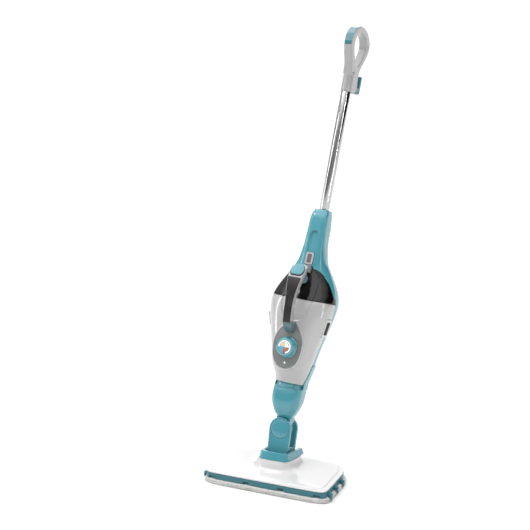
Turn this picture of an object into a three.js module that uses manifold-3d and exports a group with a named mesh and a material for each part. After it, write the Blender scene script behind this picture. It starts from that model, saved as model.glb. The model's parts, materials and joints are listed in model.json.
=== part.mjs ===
// Steam mop: a floor head with a tilting, rolling neck, a detachable hand-held steam unit held in
// a teal mast, and a pole with a D handle. Millimetres, +Z up, front of the mop towards -Y.
// The origin is the centre of the mop pad's sole, on the floor.
import * as THREE from 'three';
import { mergeVertices } from 'three/addons/utils/BufferGeometryUtils.js';
import Module from 'manifold-3d';

const wasm = await Module();
wasm.setup();

// ---------------------------------------------------------------- driving dimensions
const GAP = 0.3; // clearance between touching pieces
const MERGE = 0.05; // details finer than this are merged
const DEGREE = Math.PI / 180;

const LEAN = 17 * DEGREE; // yoke leans back at rest
const ROLL = 4 * DEGREE; // mast rolls to the right at rest
const PITCH_AXIS = { y: 20.9, z: 48.5 }; // hinge line of the yoke, along X
const HUB_HEIGHT = 72.15; // roll axis above the pitch axis, along the yoke

const HEAD = { halfWidth: 157, halfDepth: 84, padTop: 12, baseTop: 27, edgeTop: 30, pocketTop: 33 };
const PAD = { halfWidth: 163, halfDepth: 88, bevel: 3 };
const SOLE_CORNERS = [25, 31, 148, 154, 205, 211, 328, 334]; // degrees round the pad
const HEAD_RAYS = 60; // points round the head's outline
const CLIP = { rows: [-60, -20, 20], width: 9, thickness: 2.6, bottom: 4 };
const NOTCH_ROWS = [-135, -45, 45, 135];
const HEAD_SCREWS = [[-120, -58], [120, -58], [-110, 52], [110, 52]];

const BOSS = { halfWidth: 46, halfDepth: 50, y: 19, slope: 7 * DEGREE, frontZ: 61.4 };
const WELL = { halfWidth: 30.5, front: -8, floor: 36 };
const COLLAR = { frontHeight: 18, rearHeight: 14, frontHalf: 38, rearHalf: 45, front: -29.5, rear: 66 };
const COLLAR_ARM = 13; // width of the collar's side arms at their rear ends
const PITCH_PIN = { radius: 5, inner: 14, outer: 42 };

const YOKE = { halfWidth: 26, hubRadius: 28, face: 26, plate: 9, bridgeRadius: 12, bridgeTop: 30 };
const CAP = { radius: 23.5, recess: 3, dome: 2.2 };
const ROLL_PIN_RADIUS = 8;
const BUSH_RADIUS = 11;

const WALL = 2.6; // housing wall
const PARTING = -18; // plane between the hand-held unit and the teal mast
const BOOT = { bottom: 22, shoulder: 103, ledge: 113.4, armTop: 164 };
const COVER = { bottom: 114, top: 319 };
const TANK = { bottom: 319.5, top: 398.5 };
const HOUSING = { bottom: 165, cavityTop: 440, top: 541 };
const GROOVE = { half: 10, low: 434, high: 488, lowY: -36.2, highY: -30.5 };
const BODY_RAYS = 28; // points round the body's sections

// Right edge of the opening that the hand-held unit lifts out of, from the front: x, z.
const OPENING_EDGE = [
  [100, 100],
  [100, 318],
  [81, 322],
  [75.2, 334.5],
  [65.3, 353],
  [57.5, 365],
  [46.4, 377.5],
  [33.3, 390],
  [22, 394],
  [14, 395],
  [14, 399.7],
];

const POLE = { radius: 12, wall: 1, bottom: 470, top: 884 };
const SOCKET_RADIUS = POLE.radius + GAP;
const HANDLE = { bottom: 836, halfWidth: 10, collarHalf: 14, collarTop: 905, insertHalf: 8.6 };

const DIAL = { z: 201, panelBack: -71.5, panelFront: -76, radius: 25.5, faceRadius: 21, face: -95 };
const CARRY = { endY: -76.3, lowHalf: 11, topHalf: 19, neckHalf: 10.5, strip: 3 };
const STEAM_BUTTON = { y: -99.5, z: 387.5, tilt: 42 * DEGREE, half: 15.5, long: 16.5, thick: 7 };
const RELEASE = { z: 419, half: 9.5, halfHeight: 15, tilt: 8 * DEGREE, face: -40.8, thick: 9 };
const LATCH = { z: 261, y: -31, x: 69.5, tilt: 12.5 * DEGREE, turn: -30 * DEGREE };
const LATCH_BLOCK = { halfHeight: 22, halfDepth: 8, depth: 13 };
const FILLER = { y: -53, z: 366, tilt: 22 * DEGREE };
const UPPER_HOOK = { z: 850, y: 37.4, half: 12 };
const LOWER_HOOK = { z: 501, y: 15.6, half: 15 };

// Sections of the body from the boot to the neck's top:
// height, half width, half depth, centre depth, squareness (2 is an ellipse).
const BODY_SECTIONS = [
  [22, 17, 15, -3, 2.6],
  [37, 25.5, 22, -7, 2.8],
  [50, 31.5, 27, -9, 3],
  [67, 36, 30.5, -9, 3.6],
  [84, 37.2, 31.5, -8, 4],
  [103, 36.8, 31.5, -5, 4],
  [114, 36.5, 31.5, -2.5, 3.4],
  [131, 41.5, 40, -6, 2.8],
  [153, 47.7, 51, -13, 2.8],
  [175, 52.3, 54, -18, 2.8],
  [211, 60.3, 55, -20, 2.8],
  [247, 69.3, 57, -20, 2.8],
  [284, 77.5, 59, -19, 2.8],
  [303, 80, 60, -16, 2.8],
  [320, 80, 60, -12, 2.7],
  [345, 73.5, 55, -6, 2.5],
  [372, 59.6, 46, -4, 2.4],
  [398, 44.5, 36, -6, 2.4],
  [410, 37.5, 32.5, -8, 2.6],
  [434, 30.5, 27.5, -9.5, 3.4],
  [459, 26, 25, -10, 4.4],
  [490, 24, 24, -9.5, 5],
  [528, 21.7, 21.5, -7.5, 5],
  [541, 18.5, 18, -4, 5],
];

// ---------------------------------------------------------------- materials
function plastic(color, roughness) {
  return new THREE.MeshStandardMaterial({ color, roughness, metalness: 0 });
}

function metal(color, roughness) {
  return new THREE.MeshStandardMaterial({ color, roughness, metalness: 1 });
}

const TEAL = plastic(0x55a1ae, 0.32);
const WHITE = plastic(0xeceded, 0.3);
const PALE_GREY = plastic(0xb9bbbb, 0.35);
const PANEL_GREY = plastic(0x6f7573, 0.45);
const BUTTON_GREY = plastic(0x97969b, 0.4);
const BLACK = plastic(0x262626, 0.6);
const SMOKE = plastic(0x2a2d2f, 0.12);
const NYLON = plastic(0xd8d4c8, 0.5);
const MICROFIBRE = plastic(0xf1f1ef, 0.95);
const CHROME = metal(0xd0d2d4, 0.15);
const STEEL = metal(0xa8abae, 0.35);
const ALUMINIUM = metal(0xbfc2c5, 0.45);

// ---------------------------------------------------------------- solids
function signedVolume(positions, triangles) {
  const corners = [new THREE.Vector3(), new THREE.Vector3(), new THREE.Vector3()];
  let volume = 0;
  for (let i = 0; i < triangles.length; i += 3) {
    corners.forEach((corner, k) => corner.fromArray(positions, 3 * triangles[i + k]));
    volume += corners[0].dot(corners[1].cross(corners[2])) / 6;
  }
  return volume;
}

// A three.js geometry as a closed solid with its faces pointing out.
function solid(geometry) {
  const plain = geometry.clone();
  plain.deleteAttribute('normal');
  plain.deleteAttribute('uv');
  const merged = mergeVertices(plain, 1e-3);
  const positions = new Float32Array(merged.attributes.position.array);
  const triangles = [];
  for (let i = 0; i < merged.index.count; i += 3) {
    const [a, b, c] = [0, 1, 2].map((k) => merged.index.getX(i + k));
    if (a !== b && b !== c && a !== c) triangles.push(a, b, c);
  }
  if (signedVolume(positions, triangles) < 0) triangles.reverse();
  const mesh = new wasm.Mesh({ numProp: 3, vertProperties: positions, triVerts: new Uint32Array(triangles) });
  return new wasm.Manifold(mesh);
}

function join(first, ...others) {
  return others.reduce((sum, other) => sum.add(other), first);
}

function cut(first, ...tools) {
  return tools.reduce((rest, tool) => rest.subtract(tool), first);
}

// A solid's geometry, with the needle faces that cutting leaves behind merged away.
function geometryOf(body) {
  const mesh = body.asOriginal().simplify(MERGE).getMesh();
  const geometry = new THREE.BufferGeometry();
  geometry.setAttribute('position', new THREE.BufferAttribute(mesh.vertProperties, 3));
  geometry.setIndex(new THREE.BufferAttribute(mesh.triVerts, 1));
  geometry.computeVertexNormals();
  return geometry;
}

function add(group, name, body, material) {
  const mesh = new THREE.Mesh(geometryOf(body), material);
  mesh.name = name;
  group.add(mesh);
}

function box(x0, x1, y0, y1, z0, z1) {
  const geometry = new THREE.BoxGeometry(x1 - x0, y1 - y0, z1 - z0);
  return solid(geometry.translate((x0 + x1) / 2, (y0 + y1) / 2, (z0 + z1) / 2));
}

function rodX(radius, x0, x1, y, z, sides = 20) {
  const geometry = new THREE.CylinderGeometry(radius, radius, x1 - x0, sides).rotateZ(Math.PI / 2);
  return solid(geometry.translate((x0 + x1) / 2, y, z));
}

function rodY(radius, y0, y1, x, z, sides = 24) {
  const geometry = new THREE.CylinderGeometry(radius, radius, y1 - y0, sides);
  return solid(geometry.translate(x, (y0 + y1) / 2, z));
}

function rodZ(radius, z0, z1, x, y, sides = 24) {
  const geometry = new THREE.CylinderGeometry(radius, radius, z1 - z0, sides).rotateX(Math.PI / 2);
  return solid(geometry.translate(x, y, (z0 + z1) / 2));
}

// A turned piece: the profile runs from axis to axis as [radius, height] and its top faces -Y.
function turnedForward(profile, x, y, z, sides = 32) {
  const points = profile.map(([radius, height]) => new THREE.Vector2(radius, height));
  const geometry = new THREE.LatheGeometry(points, sides).rotateX(Math.PI);
  return solid(geometry.translate(x, y, z));
}

// Distance from the centre to a superellipse's edge in the direction of an angle.
function rayLength(angle, halfWidth, halfDepth, squareness) {
  const across = Math.abs(Math.cos(angle)) / halfWidth;
  const along = Math.abs(Math.sin(angle)) / halfDepth;
  return (across ** squareness + along ** squareness) ** (-1 / squareness);
}

// A closed stack of rings: place(ring, angle) gives the point of that ring at that angle.
function stack(ringCount, rays, place) {
  const geometry = new THREE.CylinderGeometry(1, 1, ringCount - 1, rays, ringCount - 1);
  const position = geometry.attributes.position;
  for (let i = 0; i < position.count; i += 1) {
    const ring = Math.round(position.getY(i) + (ringCount - 1) / 2);
    const angle = Math.atan2(position.getZ(i), position.getX(i));
    const onAxis = Math.hypot(position.getX(i), position.getZ(i)) < 0.5;
    const point = onAxis ? place(ring, 0).centre : place(ring, angle).edge;
    position.setXYZ(i, ...point);
  }
  return solid(geometry);
}

// ---------------------------------------------------------------- the body's outer form
const sectionAt = new THREE.CubicInterpolant(
  BODY_SECTIONS.map((section) => section[0]),
  BODY_SECTIONS.flatMap((section) => section.slice(1)),
  4,
);

function bodyRing(z, inset, angle) {
  const [halfWidth, halfDepth, y, squareness] = sectionAt.evaluate(z);
  const reach = rayLength(angle, halfWidth - inset, halfDepth - inset, squareness);
  return {
    centre: [0, y, z],
    edge: [reach * Math.cos(angle), y + reach * Math.sin(angle), z],
  };
}

// The body's form between two heights, drawn in by inset, with a ring about every step.
function bodySlice(low, high, inset, step = 17) {
  const count = Math.max(2, Math.round((high - low) / step) + 1);
  return stack(count, BODY_RAYS, (ring, angle) => {
    const z = low + ((high - low) * ring) / (count - 1);
    return bodyRing(z, inset, angle);
  });
}

// ---------------------------------------------------------------- extrusions in the side plane
// A shape drawn in (y, z), as wide across X as width(y, z) says.
function sideExtrude(shape, width, divisions = 8) {
  const flat = { depth: 1, bevelEnabled: false, curveSegments: divisions };
  const geometry = new THREE.ExtrudeGeometry(shape, flat);
  const position = geometry.attributes.position;
  for (let i = 0; i < position.count; i += 1) {
    const [y, z] = [position.getX(i), position.getY(i)];
    position.setXYZ(i, (position.getZ(i) - 0.5) * width(y, z), y, z);
  }
  return solid(geometry);
}

function vectors(points) {
  return points.map(([u, v]) => new THREE.Vector2(u, v));
}

function polygon(points) {
  return new THREE.Shape(vectors(points));
}

// ---------------------------------------------------------------- floor head
function headReach(angle, inset) {
  const squareness = Math.sin(angle) < 0 ? 13 : 4.6;
  const halfWidth = HEAD.halfWidth - inset;
  return rayLength(angle, halfWidth, HEAD.halfDepth - inset, squareness);
}

function headOutline(inset) {
  const shape = new THREE.Shape();
  for (let i = 0; i < HEAD_RAYS; i += 1) {
    const angle = (2 * Math.PI * i) / HEAD_RAYS;
    const reach = headReach(angle, inset);
    const [x, y] = [reach * Math.cos(angle), reach * Math.sin(angle)];
    if (i === 0) shape.moveTo(x, y);
    else shape.lineTo(x, y);
  }
  shape.closePath();
  return shape;
}

function headSlab(inset, bottom, top) {
  const slab = new THREE.ExtrudeGeometry(headOutline(inset), { depth: top - bottom, bevelEnabled: false });
  return solid(slab.translate(0, 0, bottom));
}

// Height of the sloping top of the boss that carries the collar.
function bossTop(y) {
  return BOSS.frontZ - (y - COLLAR.front) * Math.tan(BOSS.slope);
}

// The white cover's rings: how far from the head's outline (0) to the boss (1), and how far up.
const COVER_RINGS = [
  { spread: 0, z: HEAD.baseTop + GAP, rise: 0 },
  { spread: 0, z: HEAD.edgeTop, rise: 0 },
  { spread: 0.03, z: 32, rise: 0 },
  { spread: 0.3, z: 35.5, rise: 0 },
  { spread: 0.7, z: 37.5, rise: 0 },
  { spread: 0.87, z: 38.5, rise: 0.1 },
  { spread: 0.95, z: 38.5, rise: 0.4 },
  { spread: 1, z: 38.5, rise: 1 },
];

function coverPoint(ring, angle) {
  const { spread, z, rise } = COVER_RINGS[ring];
  const head = headReach(angle, 0);
  const boss = rayLength(angle, BOSS.halfWidth, BOSS.halfDepth, 3.4);
  const reach = head + (boss - head) * spread;
  const y = BOSS.y * spread;
  const edge = [reach * Math.cos(angle), y + reach * Math.sin(angle)];
  return {
    centre: [0, y, z + (bossTop(y) - z) * rise],
    edge: [...edge, z + (bossTop(edge[1]) - z) * rise],
  };
}

function headTopCover() {
  const form = stack(COVER_RINGS.length, HEAD_RAYS, coverPoint);
  const pocket = headSlab(4, HEAD.baseTop - 1, HEAD.pocketTop);
  const well = box(-WELL.halfWidth, WELL.halfWidth, WELL.front, 100, WELL.floor, 80);
  const posts = HEAD_SCREWS.map(([x, y]) => rodZ(4.5, HEAD.baseTop + GAP, HEAD.pocketTop + 1, x, y, 12));
  const holes = HEAD_SCREWS.map(([x, y]) => rodZ(2, HEAD.baseTop - 1, 32, x, y, 12));
  const holeEnd = PITCH_PIN.outer + 1;
  const pinHole = rodX(PITCH_PIN.radius + GAP, -holeEnd, holeEnd, PITCH_AXIS.y, PITCH_AXIS.z);
  return cut(join(cut(form, pocket, well), ...posts), ...holes, pinHole);
}

function headBasePlate() {
  let plate = headSlab(0.6, HEAD.padTop + GAP, HEAD.baseTop);
  for (const x of NOTCH_ROWS) {
    plate = cut(plate, box(x - 7, x + 7, -90, -80, HEAD.padTop, HEAD.padTop + 4.5));
  }
  const inner = PAD.halfWidth + GAP;
  const outer = inner + CLIP.thickness;
  const under = HEAD.padTop + 1;
  for (const side of [-1, 1]) {
    for (const y of CLIP.rows) {
      const clip = polygon([
        [150, under],
        [inner, under],
        [inner, CLIP.bottom],
        [outer, CLIP.bottom],
        [outer, 17],
        [inner, 20],
        [150, 20],
      ]);
      plate = join(plate, mirrored(frontPlate(clip, y - CLIP.width / 2, y + CLIP.width / 2), side));
    }
  }
  for (const [x, y] of HEAD_SCREWS) {
    plate = cut(plate, rodZ(2.1, 0, 40, x, y, 12), rodZ(4.3, 0, HEAD.padTop + 4, x, y, 12));
  }
  return cut(plate, box(-66, 66, -16, 16, HEAD.baseTop - 4, 40));
}

function headScrew(x, y) {
  return join(
    rodZ(4, HEAD.padTop + 1, HEAD.padTop + 3.7, x, y, 12),
    rodZ(1.7, HEAD.padTop + 3, 31, x, y, 12),
  );
}

function pitchPin() {
  return rodX(PITCH_PIN.radius, PITCH_PIN.inner, PITCH_PIN.outer, PITCH_AXIS.y, PITCH_AXIS.z);
}

function steamManifold() {
  const block = box(-64, 64, -14, 14, HEAD.baseTop - 3.6, HEAD.pocketTop - 0.4);
  return cut(block, box(-56, 56, -6, 6, 20, HEAD.baseTop - 1.6));
}

// The pad's rings: how far in from its outline, and the height.
const PAD_RINGS = [
  [PAD.bevel, 0],
  [PAD.bevel * 0.3, PAD.bevel * 0.3],
  [0, PAD.bevel],
  [0, HEAD.padTop - PAD.bevel],
  [PAD.bevel * 0.3, HEAD.padTop - PAD.bevel * 0.3],
  [PAD.bevel, HEAD.padTop],
];

// The sole has few corners, so that the mop stands on points spread well apart.
function soleCorner(angle) {
  const turn = (corner) => Math.cos(angle - corner * DEGREE);
  return SOLE_CORNERS.reduce((best, corner) => (turn(corner) > turn(best) ? corner : best)) * DEGREE;
}

function mopPad() {
  return stack(PAD_RINGS.length, HEAD_RAYS, (ring, rayAngle) => {
    const [inset, z] = PAD_RINGS[ring];
    const angle = ring === 0 ? soleCorner(rayAngle) : rayAngle;
    const squareness = Math.sin(angle) < 0 ? 9 : 4.4;
    const reach = rayLength(angle, PAD.halfWidth - inset, PAD.halfDepth - inset, squareness);
    return { centre: [0, 0, z], edge: [reach * Math.cos(angle), reach * Math.sin(angle), z] };
  });
}

// The collar is a U seen from above, open at the rear, and slopes down to the rear.
function jointCollar() {
  const { frontHalf, rearHalf, front, rear } = COLLAR;
  const shape = new THREE.Shape();
  shape.moveTo(-frontHalf + 12, front);
  shape.quadraticCurveTo(0, front - 4, frontHalf - 12, front);
  shape.quadraticCurveTo(frontHalf, front, frontHalf + 1, front + 14);
  shape.lineTo(rearHalf, rear - 6);
  shape.quadraticCurveTo(rearHalf, rear, rearHalf - 6, rear);
  shape.lineTo(rearHalf - COLLAR_ARM + 2, rear);
  shape.lineTo(WELL.halfWidth, rear - 6);
  shape.lineTo(WELL.halfWidth, WELL.front);
  shape.lineTo(-WELL.halfWidth, WELL.front);
  shape.lineTo(-WELL.halfWidth, rear - 6);
  shape.lineTo(-rearHalf + COLLAR_ARM - 2, rear);
  shape.lineTo(-rearHalf + 6, rear);
  shape.quadraticCurveTo(-rearHalf, rear, -rearHalf, rear - 6);
  shape.lineTo(-frontHalf - 1, front + 14);
  shape.quadraticCurveTo(-frontHalf, front, -frontHalf + 12, front);
  const band = new THREE.ExtrudeGeometry(shape, { depth: 1, bevelEnabled: false, curveSegments: 6 });
  const position = band.attributes.position;
  for (let i = 0; i < position.count; i += 1) {
    const [x, y, up] = [position.getX(i), position.getY(i), position.getZ(i)];
    const draft = Math.abs(x) > WELL.halfWidth + 1 ? 1 - 0.09 * up : 1;
    const height = THREE.MathUtils.mapLinear(y, front, rear, COLLAR.frontHeight, COLLAR.rearHeight);
    position.setXYZ(i, x * draft, y, bossTop(y) + GAP + up * height);
  }
  return solid(band);
}

// ---------------------------------------------------------------- yoke, about the pitch axis
function plateOutline() {
  const { halfWidth, hubRadius, bridgeTop } = YOKE;
  const shape = new THREE.Shape();
  shape.moveTo(-halfWidth, bridgeTop - 14);
  shape.lineTo(-hubRadius, HUB_HEIGHT);
  shape.absarc(0, HUB_HEIGHT, hubRadius, Math.PI, 0, true);
  shape.lineTo(halfWidth, bridgeTop - 14);
  shape.closePath();
  return shape;
}

// A plate drawn in (x, z) between two depths.
function frontPlate(shape, y0, y1, segments = 16) {
  const flat = { depth: y1 - y0, bevelEnabled: false, curveSegments: segments };
  return solid(new THREE.ExtrudeGeometry(shape, flat).rotateX(Math.PI / 2).translate(0, y1, 0));
}

function yokeFrame() {
  const { face, plate, halfWidth, bridgeRadius, bridgeTop } = YOKE;
  const front = frontPlate(plateOutline(), -face, -face + plate);
  const rear = frontPlate(plateOutline(), face - plate, face);
  const wedge = polygon([
    [-face, bridgeTop - 14],
    [-face, bridgeTop],
    [face, bridgeTop],
    [face, bridgeTop - 6],
    [bridgeRadius, 0],
    [-bridgeRadius, 0],
  ]);
  const knuckle = rodX(bridgeRadius, -WELL.halfWidth + 0.5, WELL.halfWidth - 0.5, 0, 0, 28);
  const bridge = sideExtrude(wedge, () => 2 * halfWidth);
  const frame = join(bridge, front, rear, knuckle);
  const rearLow = sideExtrude(polygon([[16, -5], [40, -5], [40, 25], [face - 1, 25]]), () => 80);
  const pinHoles = [-1, 1].map((side) => {
    const ends = [side * (PITCH_PIN.inner - GAP), side * 40].sort((a, b) => a - b);
    return rodX(PITCH_PIN.radius + GAP, ...ends, 0, 0);
  });
  const bore = rodY(ROLL_PIN_RADIUS + GAP, -40, 40, 0, HUB_HEIGHT);
  const recesses = [-1, 1].map((side) => {
    const ends = [side * (face - CAP.recess), side * 40].sort((a, b) => a - b);
    return rodY(CAP.radius + 0.5, ...ends, 0, HUB_HEIGHT, 40);
  });
  return cut(frame, rearLow, ...pinHoles, bore, ...recesses);
}

function yokeCap() {
  const { radius, recess, dome } = CAP;
  const profile = [[0, GAP], [radius, GAP], [radius, recess - 0.6], [radius - 2, recess + 0.6],
    [radius / 2, recess + dome * 0.8], [0, recess + dome]];
  return turnedForward(profile, 0, -YOKE.face + CAP.recess, HUB_HEIGHT, 40);
}

// ---------------------------------------------------------------- mast: boot, housing, pole, handle
function boot() {
  const cup = bodySlice(BOOT.bottom, BOOT.shoulder, 0, 12);
  const ledge = bodySlice(BOOT.shoulder - 2, BOOT.ledge, 3.5, 20);
  const arm = cut(
    bodySlice(BOOT.shoulder - 1, BOOT.armTop, -1.6, 20),
    bodySlice(BOOT.shoulder + 1, BOOT.armTop + 2, WALL - 1.6, 21),
    box(-90, 90, -90, PARTING + GAP, 90, 200),
  );
  const hollow = bodySlice(44, BOOT.ledge + 3, 6.5, 24);
  const tongueHalf = YOKE.face - YOKE.plate - 1;
  const shape = new THREE.Shape();
  shape.moveTo(-17, 44);
  shape.lineTo(-19, 0);
  shape.absarc(0, 0, 19, Math.PI, 2 * Math.PI, false);
  shape.lineTo(17, 44);
  shape.closePath();
  const tongue = frontPlate(shape, -tongueHalf, tongueHalf, 10);
  const rollStop = rodY(YOKE.hubRadius + 1.2, -60, 60, 0, 0, 40);
  const cheeks = [-1, 1].map((side) => {
    const ends = [side * tongueHalf, side * 60].sort((a, b) => a - b);
    return box(-40, 40, ...ends, 0, 24);
  });
  const shell = cut(join(cup, ledge, arm), hollow, rollStop, ...cheeks);
  return cut(join(shell, tongue), rodY(BUSH_RADIUS + GAP, -40, 40, 0, 0));
}

function rollBush(y0, y1) {
  return cut(rodY(BUSH_RADIUS, y0, y1, 0, 0), rodY(ROLL_PIN_RADIUS + GAP, y0 - 1, y1 + 1, 0, 0));
}

function steamCoupling() {
  const cupTop = BOOT.ledge - 1;
  return cut(rodZ(11, 92, cupTop, 0, 0), rodZ(6, 97, cupTop + 1, 0, 0), rodZ(2.5, 90, 100, 0, 0, 12));
}

function releaseBlock(grow, backward) {
  const { half, halfHeight, tilt, face, thick, z } = RELEASE;
  const geometry = new THREE.BoxGeometry(2 * (half + grow), thick + backward, 2 * (halfHeight + grow));
  geometry.translate(0, (thick + backward) / 2, 0).rotateX(-tilt);
  return solid(geometry.translate(0, face, z));
}

// A box on the latch's own axes, which point outwards, along the side and up.
function onLatch(geometry) {
  const { tilt, turn, x, y, z } = LATCH;
  return solid(geometry.rotateY(tilt).rotateZ(turn).translate(x, y, z));
}

function latchBlock(grow, inward) {
  const { halfHeight, halfDepth, depth } = LATCH_BLOCK;
  const width = depth + inward;
  const geometry = new THREE.BoxGeometry(width, 2 * (halfDepth + grow), 2 * (halfHeight + grow));
  return onLatch(geometry.translate(-width / 2 + depth / 2, 0, 0));
}

function mirrored(body, side) {
  return side > 0 ? body : body.mirror([1, 0, 0]);
}

// A round-topped groove in the neck's front, deepest at its top.
function neckGroove() {
  const { half, low, high, lowY, highY } = GROOVE;
  const outline = new THREE.Shape();
  outline.moveTo(half, low);
  outline.lineTo(half, high - half);
  outline.absarc(0, high - half, half, 0, Math.PI, false);
  outline.lineTo(-half, low);
  outline.closePath();
  const depth = sideExtrude(polygon([[-60, low], [lowY, low], [highY, high], [-60, high]]), () => 3 * half);
  return depth.intersect(frontPlate(outline, -60, 0, 8));
}

function rearHousing() {
  const form = bodySlice(HOUSING.bottom, HOUSING.top, 0, 16);
  const front = frontPlate(openingOutline(GAP), -100, PARTING + GAP);
  const cavity = bodySlice(HOUSING.bottom - 10, HOUSING.cavityTop, WALL, 26);
  const socket = rodZ(SOCKET_RADIUS, HOUSING.cavityTop + 5, HOUSING.top + 5, 0, 0, 32);
  const window = releaseBlock(0.5, 6);
  const gland = rodY(10, 20, 60, 0, 232, 20);
  return cut(form, front, cavity, socket, window, neckGroove(), gland);
}

function poleTube() {
  const { radius, wall, bottom, top } = POLE;
  return cut(rodZ(radius, bottom, top, 0, 0, 40), rodZ(radius - wall, bottom - 1, top + 1, 0, 0, 40));
}

const HANDLE_OUTER = [
  [-16, 880], [-24, 905], [-41, 930], [-48, 950], [-43, 972], [-26, 990], [0, 1000], [28, 1002],
  [56, 996], [77, 980], [82, 960], [73, 940], [56, 918], [42, 898], [36, 880],
];
const HANDLE_OPENING = [
  [10, 906], [-9, 922], [-23, 944], [-22, 964], [-6, 980], [20, 986], [45, 980], [58, 962], [52, 940],
  [34, 916], [24, 907],
];

function handleShell() {
  const { bottom, halfWidth, collarHalf, collarTop } = HANDLE;
  const shape = new THREE.Shape();
  shape.moveTo(36, 846);
  shape.lineTo(16, bottom);
  shape.lineTo(-13.8, bottom);
  shape.splineThru(vectors(HANDLE_OUTER));
  shape.closePath();
  const opening = new THREE.Shape();
  opening.moveTo(...HANDLE_OPENING[0]);
  opening.splineThru(vectors([...HANDLE_OPENING.slice(1), HANDLE_OPENING[0]]));
  const width = (y, z) => {
    const along = THREE.MathUtils.smoothstep(z, HANDLE.bottom + 10, collarTop);
    return 2 * THREE.MathUtils.lerp(collarHalf, halfWidth, along);
  };
  const corners = box(-20, 20, -20, 0, bottom - 1, 878);
  const form = join(cut(sideExtrude(shape, width, 4), corners), rodZ(collarHalf, bottom, 884, 0, 0, 40));
  const bore = rodZ(SOCKET_RADIUS, bottom - 5, POLE.top + 2, 0, 0, 32);
  const stud = box(-4.3, 4.3, 30, 60, UPPER_HOOK.z - 4.3, UPPER_HOOK.z + 4.3);
  return cut(form, sideExtrude(opening, () => 60, 4), bore, insertBlock(0.4), stud);
}

// The glossy insert wraps the handle's top front corner.
function insertBlock(grow) {
  const corner = polygon([
    [-70, 944],
    [-36 + grow, 944],
    [-34 + grow, 972],
    [-14, 988 - grow],
    [12, 993 - grow],
    [12, 1020],
    [-70, 1020],
  ]);
  return sideExtrude(corner, () => 2 * (HANDLE.insertHalf + grow));
}

function handleInsert() {
  const band = [[-37, 945], [-35, 971], [-15, 987.5], [11, 992.8], [11, 1001.6], [-1, 1000.4], [-26, 990.4],
    [-43, 972.4], [-48.2, 952], [-47, 945]];
  return sideExtrude(polygon(band), () => 2 * HANDLE.insertHalf);
}

// A cord hook that turns about a stud along Y; its lip points up (1) or down (-1).
function cordHook({ y, z, half }, reach, length, up) {
  const lip = polygon([[0, -7], [reach, -7], [reach + 4, 0], [reach + 4, length], [reach - 1, length + 3],
    [reach - 4, length - 2], [reach - 4, 7], [0, 7]].map(([u, v]) => [y + u, z + up * v]));
  return sideExtrude(lip, () => 2 * half);
}

function hookStud({ y, z }, depth) {
  return rodY(3.4, y - depth, y + 2, 0, z, 16);
}

// ---------------------------------------------------------------- hand-held steam unit
function openingOutline(grow) {
  const right = OPENING_EDGE.map(([x, z]) => [x + grow, z + grow]);
  const left = right.map(([x, z]) => [-x, z]).reverse();
  return polygon([...right, ...left]);
}

function frontSide(low, high, inset, step) {
  return cut(bodySlice(low, high, inset, step), box(-100, 100, PARTING, 100, low - 5, high + 5));
}

function panelOutline(grow) {
  const shape = new THREE.Shape();
  shape.moveTo(-9 - grow, 262 + grow);
  shape.lineTo(-24 - grow, 242);
  shape.quadraticCurveTo(-37 - grow, 222, -35 - grow, 200);
  shape.quadraticCurveTo(-32 - grow, 150 - grow, 0, 150 - grow);
  shape.quadraticCurveTo(32 + grow, 150 - grow, 35 + grow, 200);
  shape.quadraticCurveTo(37 + grow, 222, 24 + grow, 242);
  shape.lineTo(9 + grow, 262 + grow);
  shape.closePath();
  return shape;
}

function frontCover() {
  const outer = frontSide(COVER.bottom, COVER.top, 0, 15);
  const bezel = frontPlate(panelOutline(3.2), -75.2, -58, 8);
  const cavity = bodySlice(COVER.bottom + WALL, COVER.top + 2, WALL, 26);
  const recess = frontPlate(panelOutline(GAP), -90, -71.2, 8);
  const spindle = rodY(9, -80, -50, 0, DIAL.z);
  const latches = [-1, 1].map((side) => mirrored(latchBlock(0.5, 4), side));
  const solidFront = join(outer, bezel);
  return cut(solidFront, cut(cavity, box(-60, 60, -90, -66, 100, 300)), recess, spindle, ...latches);
}

function unitBack() {
  const [low, high] = [COVER.bottom + 4, TANK.top - 12];
  const behind = box(-100, 100, -100, PARTING + GAP, 0, 500);
  const clear = frontPlate(openingOutline(-1), -100, 100);
  const outer = cut(bodySlice(low, high, WALL + 2.4, 26), behind).intersect(clear);
  const room = frontPlate(openingOutline(-1 - WALL), -100, 100);
  const inner = bodySlice(low + WALL, high - WALL, 2 * WALL + 2.4, 34).intersect(room);
  const spout = rodZ(8, low - 2, low + 6, 0, -6);
  return cut(outer, inner, rodY(7.3, 20, 60, 0, 232, 20), spout);
}

function waterTank() {
  const outer = frontSide(TANK.bottom, TANK.top, 0, 11).intersect(frontPlate(openingOutline(0), -100, 0));
  const room = frontPlate(openingOutline(-2.2), -100, 0);
  const cavity = frontSide(TANK.bottom + 2, TANK.top - 2, 2.2, 18).intersect(room);
  const inner = cut(cavity, box(-100, 100, PARTING - 2, 100, 300, 420));
  const saddle = box(-13, 13, -100, -20.5, 383.5, 420);
  const saddleWall = box(-15, 15, -100, -18.4, 381.5, 397);
  const { solidNeck, bore } = fillerNeck();
  const walls = join(cut(outer, inner), saddleWall.intersect(outer), solidNeck);
  return cut(walls, saddle, bore);
}

// The filler stands out of the tank's sloping front, under the carry handle.
function fillerRod(radius, from, to, sides = 24) {
  const geometry = new THREE.CylinderGeometry(radius, radius, to - from, sides);
  geometry.translate(0, (from + to) / 2, 0).rotateX(Math.PI - FILLER.tilt);
  return solid(geometry.translate(0, FILLER.y, FILLER.z));
}

function fillerNeck() {
  return { solidNeck: fillerRod(10, -7, 1.5), bore: fillerRod(7.2, -14, 12) };
}

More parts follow.
